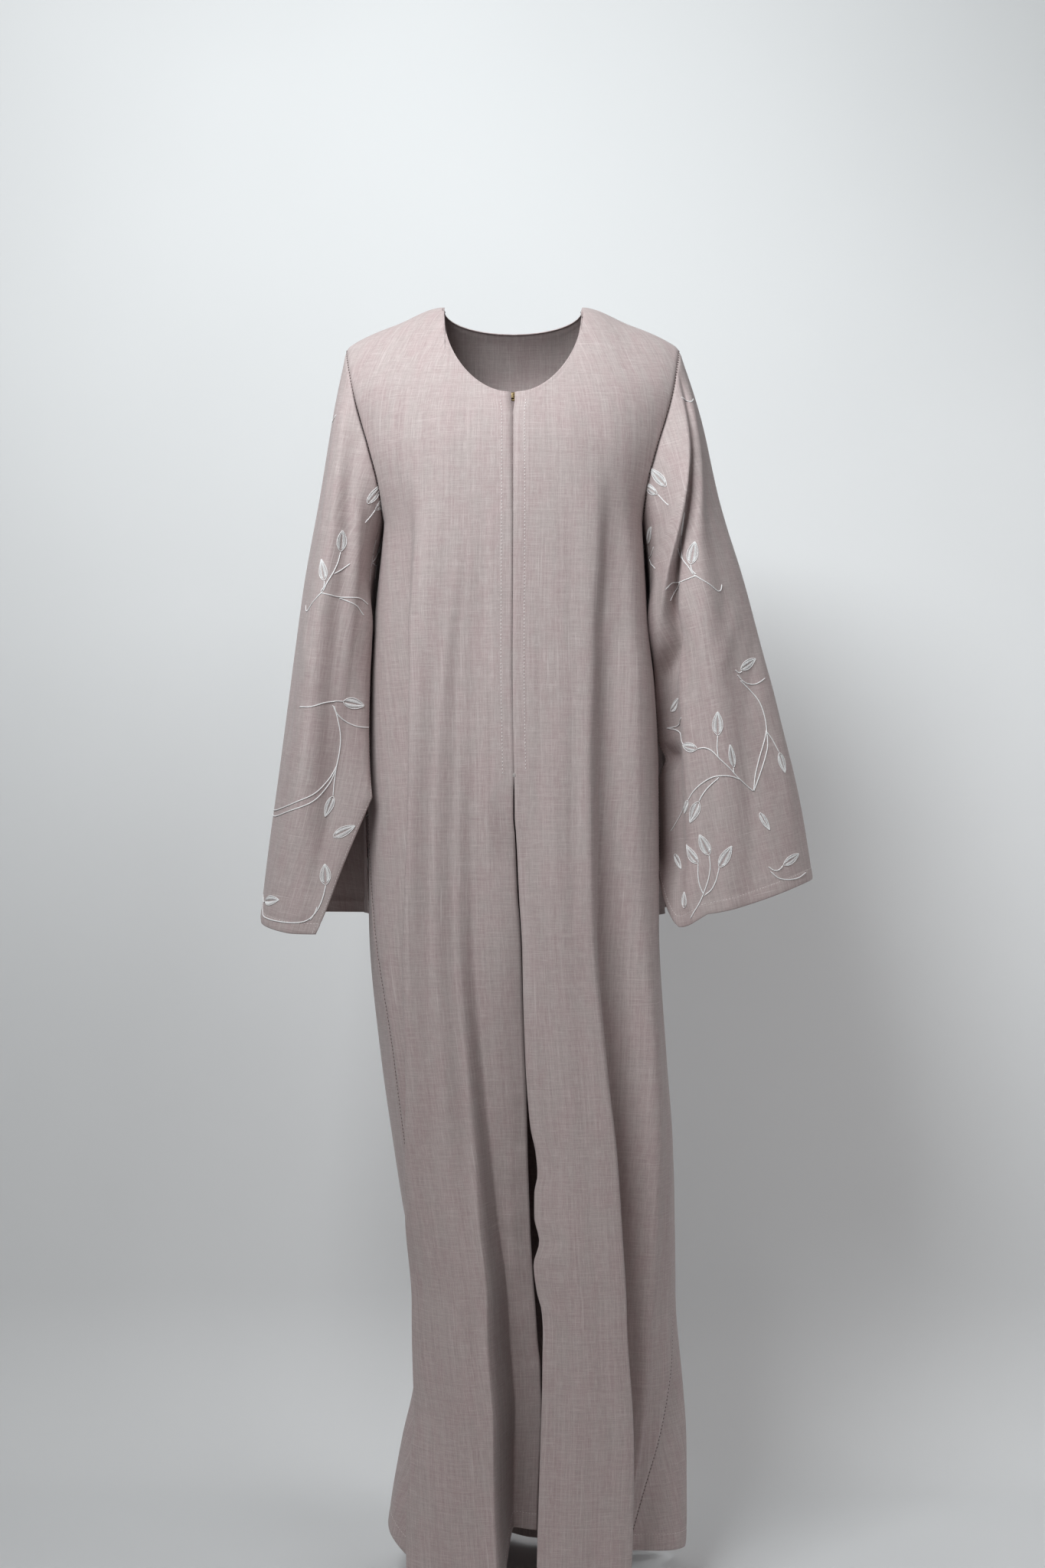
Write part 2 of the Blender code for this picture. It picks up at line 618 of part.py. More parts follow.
def make_zip_tape(name, panel, edge, neighbour):
    """A tape that lies on the inside of a front panel's first cells, from the neck to the zip's end."""
    shape = panel["grid"].shape
    inner = panel["inner"].reshape(shape)
    normals = panel["normals"].reshape(shape)
    rows = [r for r in range(shape[0]) if ZIP_END < inner[r, edge, 2] < ZIP_TOP]
    across = inner[rows, neighbour] - inner[rows, edge]
    near = inner[rows, edge] + across * TAPE_MARGIN - SEAM_GAP * normals[rows, edge]
    far = inner[rows, neighbour] - across * TAPE_MARGIN - SEAM_GAP * normals[rows, neighbour]
    outer = np.stack([near, far], 1)
    toward = np.stack([normals[rows, edge], normals[rows, neighbour]], 1)
    faces = grid_faces(len(rows), 2, edge != 0)
    tape = cloth_material("mauve zip tape", (0.4, 0.33, 0.31), 0.7)
    points = outer.reshape(-1, 3)
    solid, faces = wall_mesh(points, points - TAPE_WALL * toward.reshape(-1, 3), faces)
    add_object(name, solid, faces, tape)


def add_block(name, size, depth, place, material):
    """A block of one size, standing back by depth in a place's own frame."""
    shape = bmesh.new()
    scale = Matrix.Diagonal((*(length * MM_TO_M for length in size), 1))
    bmesh.ops.create_cube(shape, size=1, matrix=scale)
    mesh = bpy.data.meshes.new(name)
    shape.to_mesh(mesh)
    shape.free()
    mesh.materials.append(material)
    obj = bpy.data.objects.new(name, mesh)
    obj.matrix_world = place @ Matrix.Translation((0, depth * MM_TO_M, 0))
    bpy.context.scene.collection.objects.link(obj)
    return obj


def make_slider(panel):
    """The slider at the top of the closed zip, leaning with the chest."""
    edge = panel["inner"].reshape(panel["grid"].shape)[LOWER_ROWS:, 0]
    y = float(smooth(SLIDER_HEIGHT, edge[:, 2], edge[:, 1]))
    y_above = float(smooth(SLIDER_HEIGHT + 5, edge[:, 2], edge[:, 1]))
    lean = np.arctan2(y_above - y, 5)
    material = brass_material()
    plate_back = SEAM_GAP + SLIDER_PLATE[1] / 2
    bridge_back = plate_back - SLIDER_BRIDGE[1] / 2
    place = Matrix.Translation((0, y * MM_TO_M, SLIDER_HEIGHT * MM_TO_M)) @ Matrix.Rotation(-lean, 4, "X")
    plate = add_block("zip_slider", SLIDER_PLATE, plate_back, place, material)
    bridge = add_block("zip_slider_bridge", SLIDER_BRIDGE, bridge_back, place, material)
    bridge.hide_render = True
    bridge.display_type = "WIRE"
    joined = plate.modifiers.new("Bridge", "BOOLEAN")
    joined.operation = "UNION"
    joined.object = bridge
    rounded = plate.modifiers.new("Rounding", "BEVEL")
    rounded.width = SLIDER_BEVEL * MM_TO_M
    rounded.segments = 2


def main():
    for obj in list(bpy.data.objects):
        bpy.data.objects.remove(obj, do_unlink=True)
    panels = make_cloth()
    make_zip_tape("zip_tape_left", panels["front_left"], 0, 1)
    make_zip_tape("zip_tape_right", panels["front_right"], -1, -2)
    make_slider(panels["front_left"])


main()
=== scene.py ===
import math

import bpy
import numpy as np
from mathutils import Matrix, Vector


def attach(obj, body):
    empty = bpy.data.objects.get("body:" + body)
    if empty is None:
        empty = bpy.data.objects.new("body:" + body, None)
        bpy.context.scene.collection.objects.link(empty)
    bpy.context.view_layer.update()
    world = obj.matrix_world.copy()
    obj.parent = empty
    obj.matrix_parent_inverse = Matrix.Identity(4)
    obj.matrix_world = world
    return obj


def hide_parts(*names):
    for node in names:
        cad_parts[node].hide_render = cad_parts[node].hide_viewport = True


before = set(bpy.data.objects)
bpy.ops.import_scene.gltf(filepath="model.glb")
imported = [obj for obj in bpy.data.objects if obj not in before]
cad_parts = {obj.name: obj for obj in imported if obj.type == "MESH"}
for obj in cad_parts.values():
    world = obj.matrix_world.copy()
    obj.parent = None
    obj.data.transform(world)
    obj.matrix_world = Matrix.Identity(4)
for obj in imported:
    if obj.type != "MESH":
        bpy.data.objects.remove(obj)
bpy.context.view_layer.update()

# Lengths are in mm and angles in degrees, unless a name or comment says otherwise.
MM = 0.001
CLOTH = 1.0  # the cloth's thickness as shown
TURNED = 1.9  # its thickness where a hem or facing is turned under
SEAM_GAP = 0.14
LOWER_ROWS = 168
UPPER_ROWS = 45
SLEEVE_ROWS = 100
SLEEVE_COLUMNS = 4 * UPPER_ROWS  # twice the points round the armhole
HEM_ROWS = (0.8, 2.5, 6, 11, 16, 18.6, 20, 21.4, 25)
CUFF_ROWS = (0.8, 2.5, 6, 10, 12.8, 14, 15.2, 18)
PANEL_LENGTH = 1216.0  # from the hem to the armpit, for the rows at the hem
SLEEVE_LENGTH = 640.0
HEM_DEPTH = 20.0
CUFF_DEPTH = 14.0
FACING = 15.0
FACING_STITCHES = 14.5
SLIT_HEM = 6
NECK_HEM = 8

ARMPIT = -250.0
SHOULDER_POINT = -49.0
ZIP_END = -540.0
ZIP_TOP = -128.0
NECK_HALF_WIDTH = 80.0
FRONT_NECK_DROP = 113.0
BACK_NECK_DROP = 22.0
SHOULDER_HALF_WIDTH = 192.0
ARMPIT_HALF_WIDTH = 148.0
SHOULDER_ROUNDING = 80.0
FOLDS_FULL = -330.0
FOLDS_GONE = -180.0
SLIT_ANGLE = 160
SLIT_START = 0.44  # as a share of the sleeve
SECTION_POWER = 2.2  # how square a section is: 2 is an ellipse
ARMPIT_POWER = 2.6
NECK_CORNER = np.degrees(np.arcsin((NECK_HALF_WIDTH / SHOULDER_HALF_WIDTH) ** (ARMPIT_POWER / 2)))


def smooth(at, knots, values):
    """A curve through (knots, values) with no overshoot. knots may rise or fall."""
    knots = np.asarray(knots, float)
    values = np.asarray(values, float)
    if knots[0] > knots[-1]:
        knots = knots[::-1]
        values = values[::-1]
    at = np.clip(at, knots[0], knots[-1])
    width = np.diff(knots)
    slope = np.diff(values) / width
    turn = slope[:-1] * slope[1:]
    together = slope[:-1] + slope[1:]
    safe = np.where(together == 0, 1, together)
    inner = np.where(turn > 0, 2 * turn / safe, 0)
    lean = np.concatenate([slope[:1], inner, slope[-1:]])
    cell = np.clip(np.searchsorted(knots, at, side="right") - 1, 0, len(width) - 1)
    t = (at - knots[cell]) / width[cell]
    start = values[cell] * (1 + 2 * t) * (1 - t) ** 2 + values[cell + 1] * t**2 * (3 - 2 * t)
    return start + width[cell] * (lean[cell] * t * (1 - t) ** 2 - lean[cell + 1] * t**2 * (1 - t))


class Table:
    """Rows of numbers with named columns. A column is read as a smooth curve over the first one."""

    def __init__(self, names, rows):
        self.names = names.split()
        self.rows = np.array(rows, float)

    def at(self, name, key):
        return smooth(key, self.rows[:, 0], self.rows[:, self.names.index(name)])


BODY = Table("height right left front back power", (
    (-1466, -138, 186, 124, 166, SECTION_POWER),
    (-1386, -132, 192, 125, 160, SECTION_POWER),
    (-1312, -122, 193, 126, 154, SECTION_POWER),
    (-1240, -112, 190, 127, 148, SECTION_POWER),
    (-1138, -112, 184, 128, 140, SECTION_POWER),
    (-1033, -128, 184, 129, 132, SECTION_POWER),
    (-969, -137, 183, 129, 128, SECTION_POWER),
    (-866, -150, 175, 130, 122, SECTION_POWER),
    (-705, -165, 166, 131, 116, SECTION_POWER),
    (-530, -168, 166, 130, 112, SECTION_POWER),
    (-440, -165, 162, 128, 109, 2.3),
    (-360, -160, 154, 126.5, 107, 2.4),
    (ARMPIT, -ARMPIT_HALF_WIDTH, ARMPIT_HALF_WIDTH, 125, 106, ARMPIT_POWER),
))
CHEST = Table("height front back armhole closing power", (
    (ARMPIT, 125, 106, ARMPIT_HALF_WIDTH, ARMPIT_HALF_WIDTH, ARMPIT_POWER),
    (-215, 123.5, 105.5, 152, 161, 2.45),
    (-171, 119, 104, 163, 179, 2.3),
    (-138, 111, 100, 173, 191, SECTION_POWER),
    (-109, 99, 94, 181, 200, SECTION_POWER),
    (-80, 84, 86, 187, 205, SECTION_POWER),
    (SHOULDER_POINT, 67, 73, 192, 208, SECTION_POWER),
    (0, 50, 50, 192, 214, SECTION_POWER),
))
SHOULDER = Table("across height", (
    (0, 0),
    (NECK_HALF_WIDTH, 0),
    (134, -20),
    (162, -31),
    (185, -43),
    (SHOULDER_HALF_WIDTH, SHOULDER_POINT),
))
# Fold lines as in the CAD, each with its angles and how far out it lies at FOLD_HEIGHTS, then the
# height of its hem, then how many fine columns run up to the next line.
FOLD_HEIGHTS = (-1440, -1140, -860, -530, -300)
FRONT_LEFT_FOLDS = (
    ("front edge", (0, -3, 0, 0, 0), (4, 2, -2, 0, 0), -1466, 26),
    ("lobe crest", (17, 16, 18, 20, NECK_CORNER), (13, 10, 7, 4, 1), -1466, 22),
    ("lobe edge", (33, 31, 29, 27, 31), (20, 18, 13, 8, 4), -1464, 24),
    ("lobe foot", (43, 40, 38.5, 37.5, 41), (-54, -44, -30, -13, -5), -1432, 26),
    ("side fall", (46.5, 58, 58, 54, 58), (-46, -6, 9, 7, 3), -1424, 16),
    ("side seam", (50, 80, 89, 90, 90), (-44, 0, 0, 0, 0), -1420, 14),
)
BACK_FOLDS = (
    ("left side seam", (50, 80, 89, 90, 90), (-44, 0, 0, 0, 0), -1420, 20),
    ("left flare", (84, 95, 100, 102, 105), (10, 5, 4, 3, 2), -1424, 14),
    ("back valley 1", (103, 112, 115, 117, 120), (-30, -20, -11, -6, -2), -1432, 13),
    ("back ridge 1", (121, 127, 130, 131, 133), (22, 14, 8, 4, 1), -1462, 13),
    ("back valley 2", (139, 142, 144, 145, 146), (-28, -19, -11, -6, -3), -1464, 13),
    ("back ridge 2", (157, 157, 157, 157, 180 - NECK_CORNER), (24, 15, 9, 4, 1), -1466, 15),
    ("back valley 3", (178, 179, 180, 180, 180), (-26, -17, -10, -6, -3), -1466, 15),
    ("back ridge 3", (200, 201, 202, 202, 180 + NECK_CORNER), (24, 16, 10, 4, 1), -1466, 13),
    ("back valley 4", (219, 217, 216, 214, 213), (-30, -20, -12, -6, -3), -1464, 13),
    ("back ridge 4", (237, 234, 231, 229, 227), (24, 15, 8, 4, 1), -1462, 13),
    ("back valley 5", (250, 246, 246, 244, 241), (-24, -17, -9, -5, -2), -1446, 13),
    ("right flare", (264, 258, 260, 258, 256), (14, 3, 4, 3, 2), -1410, 18),
    ("right side seam", (294, 281, 290, 271, 270), (-26, -14, -6, 0, 0), -1446, 18),
)
FRONT_RIGHT_FOLDS = (
    ("side seam", (294, 281, 290, 271, 270), (-26, -14, -6, 0, 0), -1446, 14),
    ("lobe foot", (301, 289, 308, 315, 312), (-36, -30, -29, -22, -10), -1452, 18),
    ("lobe edge", (308.5, 297, 316, 323.5, 322.5), (20, 19, 20, 16, 6), -1466, 22),
    ("lobe crest", (328, 321, 328, 332, 360 - NECK_CORNER), (13, 10, 4, 2, 0), -1466, 22),
    ("lobe side", (346.5, 335.5, 337, 340, 346), (1, -4, -13, -10, -2), -1466, 13),
    ("lobe fall", (350, 340, 343.5, 347, 352), (-78, -58, -35, -15, -3), -1394, 15),
    ("front edge", (360, 357, 360, 360, 360), (-80, -60, -36, -3, 0), -1397, 22),
)
# Where each front edge runs, and how far it tucks in behind the plain form.
FRONT_EDGES = Table("height right_x left_x right_tuck left_tuck", (
    (-1466, 24, 26, 0, 0),
    (-1400, 25, 27, 0, 0),
    (-1300, 28, 30, 0, 0),
    (-1215, 32, 32.6, 0, 0),
    (-1183, 28.6, 33, 0, 1),
    (-1153, 26.6, 33.5, 0, 2),
    (-1130, 25, 32, 0, 2),
    (-1111, 23.5, 27, 0, 4),
    (-1080, 21.6, 23.2, 0, 5),
    (-1054, 20.2, 29.5, 0, 2),
    (-1027, 19.2, 24, 0, 4),
    (-1002, 18.2, 24, 0, 4),
    (-980, 17.4, 27.5, 0, 2),
    (-956, 16.8, 25.5, 0, 2),
    (-930, 16.2, 20, 0, 3),
    (-892, 15.2, 16.4, 0, 3),
    (-865, 14, 14.7, 0, 2),
    (-782, 11, 11.6, 0, 2),
    (-732, 9.7, 10.6, 0, 3),
    (-667, 5.4, 6.8, 0, 4),
    (-606, 2.6, 4.0, 0, 4),
    (-588, 0.8, 2.4, 0, 4),
    (-560, 0.8, 2.2, 0, 3),
    (-541, 1.5, 1.8, 0.4, 0.6),
    (-420, -0.3, 0, 0, 0),
    (-244, 0.4, 0.7, 0, 0),
    (-138, 0.4, 0.7, 0, 0),
    (-122, -1.4, 2.4, 0, 0),
    (0, -1.4, 2.4, 0, 0),
))
SLEEVE_NAMES = "along outer_x outer_z inner_x inner_z front back front_drop front_edge back_edge"
LEFT_SLEEVE = Table(SLEEVE_NAMES, (
    (0.00, 192, -49, 148, -250, 52, 52, 0, SLIT_ANGLE, SLIT_ANGLE),
    (0.12, 215, -120, 154, -292, 70, 62, 0, SLIT_ANGLE, SLIT_ANGLE),
    (0.28, 234, -215, 160, -350, 82, 74, 0, SLIT_ANGLE, SLIT_ANGLE),
    (0.42, 262, -310, 166, -406, 88, 80, 0, 161, 161),
    (0.52, 279, -374, 170, -450, 89, 82, 0, 161, 166),
    (0.68, 303, -466, 173, -532, 88, 84, 0, 162, 172),
    (0.84, 327, -568, 174, -624, 84, 82, 2, 160, 174),
    (1.00, 342, -658, 176, -702, 80, 78, 8, 148, 176),
))
RIGHT_SLEEVE = Table(SLEEVE_NAMES, (
    (0.00, 192, -49, 148, -250, 52, 52, 0, SLIT_ANGLE, SLIT_ANGLE),
    (0.12, 206, -120, 158, -292, 70, 62, 0, SLIT_ANGLE, SLIT_ANGLE),
    (0.28, 221, -215, 165, -350, 80, 74, 0, SLIT_ANGLE, SLIT_ANGLE),
    (0.42, 240, -322, 170, -410, 84, 80, 0, SLIT_ANGLE, SLIT_ANGLE),
    (0.52, 249, -392, 173, -455, 85, 82, 0, 158, 164),
    (0.68, 261, -494, 176, -535, 84, 84, 2, 150, 172),
    (0.84, 275, -605, 176, -622, 82, 82, 8, 125, 180),
    (1.00, 287, -705, 175, -700, 80, 78, 16, 94, 184),
))
# How far down a sleeve the numbers in its fold lines stand: eight places or four.
SLEEVE_FOLD_ALONG = {8: (0, 0.12, 0.2, 0.28, 0.4, 0.52, 0.65, 1), 4: (0, 0.28, 0.65, 1)}
# Each line: its angles, then how far out it lies, at those places
LEFT_SLEEVE_FOLDS = (
    # the lobe that hangs over the sleeve's face, and the cleft beside it
    ((62, 84, 112, 140, 156, 160, 160.5, 161), (0, 7, 12, 12, 6, 0, 0, 0)),
    ((48, 64, 91, 124, 148, 158, 159, 160), (0, 9, 16, 17, 11, 3, 0, 0)),
    ((40, 53, 79, 110, 136, 153, 155, 157), (0, -7, -12, -16, -17, -13, -10, -4)),
    ((32, 44, 66, 96, 123, 135, 131, 129), (0, -1, -1, 0, 3, 9, 13, 13)),
    # the sleeve's face
    ((24, 38, 50, 70, 90, 101, 103, 105), (0, 0, 2, 4, 4, 3, 2, 2)),
    ((14, 30, 38, 44, 54, 62, 64, 80), (0, -3, -5, -5, -6, -8, -9, -7)),
    ((-22, -8, -2, 4, 8, 10, 12, 14), (0, 1, 2, 3, 3, 3, 4, 4)),
    # the hidden back
    ((-55, -42, -40, -44), (0, -6, -10, -10)),
    ((-92, -86, -84, -86), (0, 5, 8, 10)),
    ((-125, -124, -124, -126), (0, -4, -8, -10)),
    ((-160, -164, -168, -170), (0, 0, 1, 2)),
)
RIGHT_SLEEVE_FOLDS = (
    ((110, 132, 146, 150), (0, 4, 3, 0)),
    ((78, 100, 108, 120), (0, -9, -7, -2)),
    ((44, 62, 70, 74), (0, 6, 6, 5)),
    ((12, 26, 34, 38), (0, -3, 2, 8)),
    ((-20, -4, 4, 6), (0, 2, 3, 4)),
    ((-55, -44, -42, -44), (0, -6, -9, -10)),
    ((-92, -88, -86, -84), (0, 5, 8, 10)),
    ((-125, -126, -126, -124), (0, -4, -8, -9)),
    ((-160, -164, -168, -170), (0, 0, 1, 2)),
)


# ---------------------------------------------------------------- the plain form, as in the CAD


def ease(t):
    """Softly from 0 at 0 up to 1 at 1."""
    return 0.5 - 0.5 * np.cos(np.pi * np.clip(t, 0, 1))


def rise(value, start, length):
    """Softly from 0 at start up to 1, a length further on."""
    return ease((value - start) / length)


def fall(value, end, length):
    """Softly from 1, a length before the end, down to 0 there."""
    return ease((end - value) / length)


def near(away, reach):
    """Softly from 1 at an edge down to 0 at its reach."""
    return ease(1 - away / reach)


def signed_power(value, power):
    return np.sign(value) * np.abs(value) ** power


def bell(off, width):
    return np.exp(-((off / width) ** 2))


def unit(vectors):
    return vectors / np.linalg.norm(vectors, axis=-1, keepdims=True)


def run_along(path):
    """Running length along a line of points."""
    return np.concatenate([[0], np.cumsum(np.linalg.norm(np.diff(path, axis=0), axis=1))])


class FoldLines:
    """A body panel's fold lines. u counts them: 2 is the third line, and 2.5 is halfway on to the next."""

    def __init__(self, folds):
        _, self.angles, self.outs, self.hems, self.cells = zip(*folds)

    def stops(self):
        found = [0.0]
        for line, cells in enumerate(self.cells[:-1]):
            found += [line + step / cells for step in range(1, cells + 1)]
        return np.array(found)

    def between(self, u, per_line, eased):
        line = np.minimum(np.floor(u).astype(int), len(self.hems) - 2)
        part = u - line
        part = ease(part) if eased else part
        take = np.arange(len(per_line[0]))
        return per_line[line, take] * (1 - part) + per_line[line + 1, take] * part

    def at(self, u, height, values, eased):
        return self.between(u, np.array([smooth(height, FOLD_HEIGHTS, row) for row in values]), eased)

    def angle(self, u, height):
        return np.radians(self.at(u, height, self.angles, False))

    def out(self, u, height):
        fade = 1 - rise(height, FOLDS_FULL, FOLDS_GONE - FOLDS_FULL)
        return fade * self.at(u, height, self.outs, True)

    def hem(self, u):
        ends = np.array(self.hems, float)
        return self.between(u, np.repeat(ends[:, None], len(u), axis=1), True)


def body_at(height):
    """The plain body's right and left x, its front and back depth and its power at a height."""
    return [BODY.at(name, height) for name in BODY.names[1:]]


def ring_points(lines, u, height):
    """One ring of a body panel, at a height for each of its columns."""
    right, left, front, back, power = body_at(height)
    angle = lines.angle(u, height)
    middle = (left + right) / 2
    half = (left - right) / 2
    across = signed_power(np.sin(angle), 2 / power)
    forward = signed_power(np.cos(angle), 2 / power)
    depth = np.where(forward > 0, front, back)
    slope = power - 1
    normal = unit(np.stack([signed_power(across, slope) / half, -signed_power(forward, slope) / depth], -1))
    out = lines.out(u, height)
    x = middle + half * across + out * normal[..., 0]
    y = -depth * forward + out * normal[..., 1]
    return np.stack([x, y, height], -1)


def neck_height(across, drop):
    return -drop * np.sqrt(np.clip(1 - (across / NECK_HALF_WIDTH) ** 2, 0, 1))


def shoulder_height(across):
    return SHOULDER.at("height", np.abs(across))


def shoulder_points(lines, u, t, is_back):
    """The ring at a share t of the way from the armpits up to the neck and shoulders."""
    base = np.full_like(u, ARMPIT)
    angle = lines.angle(u, base)
    spread = signed_power(np.sin(angle), 2 / ARMPIT_POWER)
    top_across = SHOULDER_HALF_WIDTH * spread
    drop = BACK_NECK_DROP if is_back else FRONT_NECK_DROP
    inside_neck = np.abs(top_across) < NECK_HALF_WIDTH - 0.01
    round_neck = NECK_HALF_WIDTH * np.sin(np.pi / 2 * np.clip(top_across / NECK_HALF_WIDTH, -1, 1))
    top_across = np.where(inside_neck, round_neck, top_across)
    top = np.where(inside_neck, neck_height(top_across, drop), shoulder_height(top_across))
    edge_height = ARMPIT + (SHOULDER_POINT - ARMPIT) * t
    armhole = CHEST.at("armhole", edge_height)
    beside = (armhole - ARMPIT_HALF_WIDTH) / (SHOULDER_HALF_WIDTH - ARMPIT_HALF_WIDTH)
    past_neck = np.abs(top_across) - NECK_HALF_WIDTH
    apart = np.clip(past_neck / (SHOULDER_HALF_WIDTH - NECK_HALF_WIDTH), 0, 1)
    risen = beside * apart + t * (1 - apart)
    x = spread * ARMPIT_HALF_WIDTH + (top_across - spread * ARMPIT_HALF_WIDTH) * risen
    z = ARMPIT + (top - ARMPIT) * t
    reach = CHEST.at("back" if is_back else "front", z)
    closing = CHEST.at("closing", z)
    power = CHEST.at("power", z)
    below = np.clip((shoulder_height(x) - z) / SHOULDER_ROUNDING, 0, 1)
    rounding = np.sqrt(1 - (1 - below) ** 2)
    side = np.clip(1 - np.abs(x / closing) ** power, 0, 1) ** (1 / power)
    depth = reach * rounding * side + lines.out(u, z)
    return np.stack([x, depth if is_back else -depth, z], -1)


def lower_steps():
    """Shares of the way from the hem to the armpit: close together over the turned hem."""
    low = [0.0] + [d / PANEL_LENGTH for d in HEM_ROWS]
    rest = np.linspace(low[-1], 1, LOWER_ROWS - len(low) + 2)[1:]
    return np.array(low + rest.tolist())


def body_grid(folds):
    lines = FoldLines(folds)
    u = lines.stops()
    hem = lines.hem(u)
    rows = [ring_points(lines, u, hem + (ARMPIT - hem) * share) for share in lower_steps()]
    for step in range(1, UPPER_ROWS + 1):
        t = np.full_like(u, ease(step / UPPER_ROWS))
        rows.append(shoulder_points(lines, u, t, folds is BACK_FOLDS))
    return np.array(rows)


def sleeve_folds_out(folds, angle, along):
    """How far a sleeve's folds stand out at each angle of one ring."""
    angles = []
    outs = []
    for line_angles, line_outs in folds:
        stops = SLEEVE_FOLD_ALONG[len(line_angles)]
        angles.append(smooth(along, stops, line_angles))
        outs.append(smooth(along, stops, line_outs))
    order = np.argsort(angles)
    angles = np.array(angles)[order]
    outs = np.array(outs)[order]
    angles = np.concatenate([[angles[-1] - 360], angles, [angles[0] + 360]])
    outs = np.concatenate([[outs[-1]], outs, [outs[0]]])
    turned = (angle - angles[0]) % 360 + angles[0]
    cell = np.clip(np.searchsorted(angles, turned, side="right") - 1, 0, len(angles) - 2)
    part = rise(turned, angles[cell], angles[cell + 1] - angles[cell])
    return outs[cell] * (1 - part) + outs[cell + 1] * part


def sleeve_ring(table, folds, along, side):
    """One ring of a sleeve at a share of its length, with the angle of each column."""
    def get(name):
        return float(table.at(name, along))

    turn = np.arange(SLEEVE_COLUMNS + 1) / SLEEVE_COLUMNS
    front_edge = get("front_edge")
    angle = front_edge + turn * (get("back_edge") - 360 - front_edge)
    radians = np.radians(angle)
    outer = np.array([get("outer_x"), get("outer_z")])
    inner = np.array([get("inner_x"), get("inner_z")])
    across = np.cos(radians)
    forward = np.sin(radians)
    depth = np.where(forward > 0, get("front"), get("back"))
    out = sleeve_folds_out(folds, angle, along)
    middle = (outer + inner) / 2
    half = (outer - inner) / 2
    width = np.hypot(*half)
    x = middle[0] + half[0] * across * (1 + out / width)
    z = middle[1] + half[1] * across - get("front_drop") * np.clip(forward, 0, 1) ** 2
    y = -(depth + out) * forward
    return np.stack([side * x, y, z], -1), angle


def armhole_ring(front, back, side):
    """The loop of the body's armhole, in the order of a sleeve's columns."""
    front_edge = front[LOWER_ROWS:, -1 if side > 0 else 0]
    back_edge = back[LOWER_ROWS:, 0 if side > 0 else -1]
    loop = np.concatenate([front_edge[::-1], back_edge[1:]])
    fine = np.empty((len(loop) * 2 - 1, 3))
    fine[::2] = loop
    fine[1::2] = (loop[:-1] + loop[1:]) / 2
    slit = round(SLIT_ANGLE / 360 * SLEEVE_COLUMNS)
    order = (slit - np.arange(SLEEVE_COLUMNS + 1)) % SLEEVE_COLUMNS
    return fine[order]


SLEEVE_CLEARANCE = 1.5
# Shares of a sleeve's length, as where a form starts and over what length it grows
SLEEVE_BLEND = 0.13  # how far down its armhole's shape still tells
TUCK_START = (0.03, 0.12)
REST_START = (0.2, 0.15)
# The tuck behind the body: its angles, the least distance from the middle, how far off it acts
TUCK_FROM, TUCK_RISE, TUCK_TO, TUCK_FALL = 186, 34, 292, 50
LEAST_REACH = 112
TUCK_FREELY, TUCK_REACH = 10, 90  # in full up to the first, and not at all the second further off
BEHIND_BACK = 6
# The right sleeve's slit swings open below a height
OPEN_BELOW = -565.0
OPEN_SLOPE = 0.55
# The left sleeve: a puff in its slit, the cleft beside the body, its face's edge and its cuff's corner
PUFF_FREE, PUFF_AT, PUFF_WIDTH = 0.95, 0.664, 0.024
CLEFT_START = (0.36, 0.14)
CLEFT_FRONT, CLEFT_BACK = 28, 15
FACE_EDGE_OUT = 8
FACE_EDGE_START, FACE_EDGE_END = (0.33, 0.1), (0.84, 0.13)
CUFF_START = (0.82, 0.18)
CUFF_RISE, CORNER_DROP = 50, 14
# Columns of the sleeve's grid, counted in from a slit edge
EDGE_COLUMNS_MOVED = {1: 11, -1: 14}
CLEFT_FRONT_COLUMNS, CLEFT_BACK_COLUMNS = 13, 15
FACE_EDGE_FIRST, FACE_EDGE_LAST = (1, 7), (15, 16)
CORNER_COLUMN, CORNER_WIDTH = 8, 9


def tuck_behind(points, along, angle, side):
    """Brings a sleeve's inner back over behind the body, as it hangs against it."""
    turned = angle % 360
    weight = rise(turned, TUCK_FROM, TUCK_RISE) * fall(turned, TUCK_TO, TUCK_FALL)
    weight = weight * rise(along, *TUCK_START)
    right, left, _, depth, power = body_at(points[:, 2])
    half = np.abs(left if side > 0 else right)
    behind = np.clip(points[:, 1] / (depth + BEHIND_BACK), 0, 1)
    body = half * np.clip(1 - behind**power, 0, 1) ** (1 / power)
    over = np.abs(points[:, 0]) - (np.maximum(body, LEAST_REACH) + SLEEVE_CLEARANCE)
    close = 1 - rise(over, TUCK_FREELY, TUCK_REACH)
    points[:, 0] -= side * weight * close * np.maximum(over, 0)


def shape_left_face(points, along, place, from_back):
    """Sets the left sleeve's slit back, for the cleft beside the body, and brings its face's edge out."""
    deep = rise(along, *CLEFT_START)
    front = CLEFT_FRONT * near(place, CLEFT_FRONT_COLUMNS)
    points[:, 1] += deep * (front + CLEFT_BACK * near(from_back, CLEFT_BACK_COLUMNS))
    edge = rise(place, *FACE_EDGE_FIRST) * (1 - rise(place, *FACE_EDGE_LAST))
    points[:, 0] += FACE_EDGE_OUT * edge * rise(along, *FACE_EDGE_START) * (1 - rise(along, *FACE_EDGE_END))


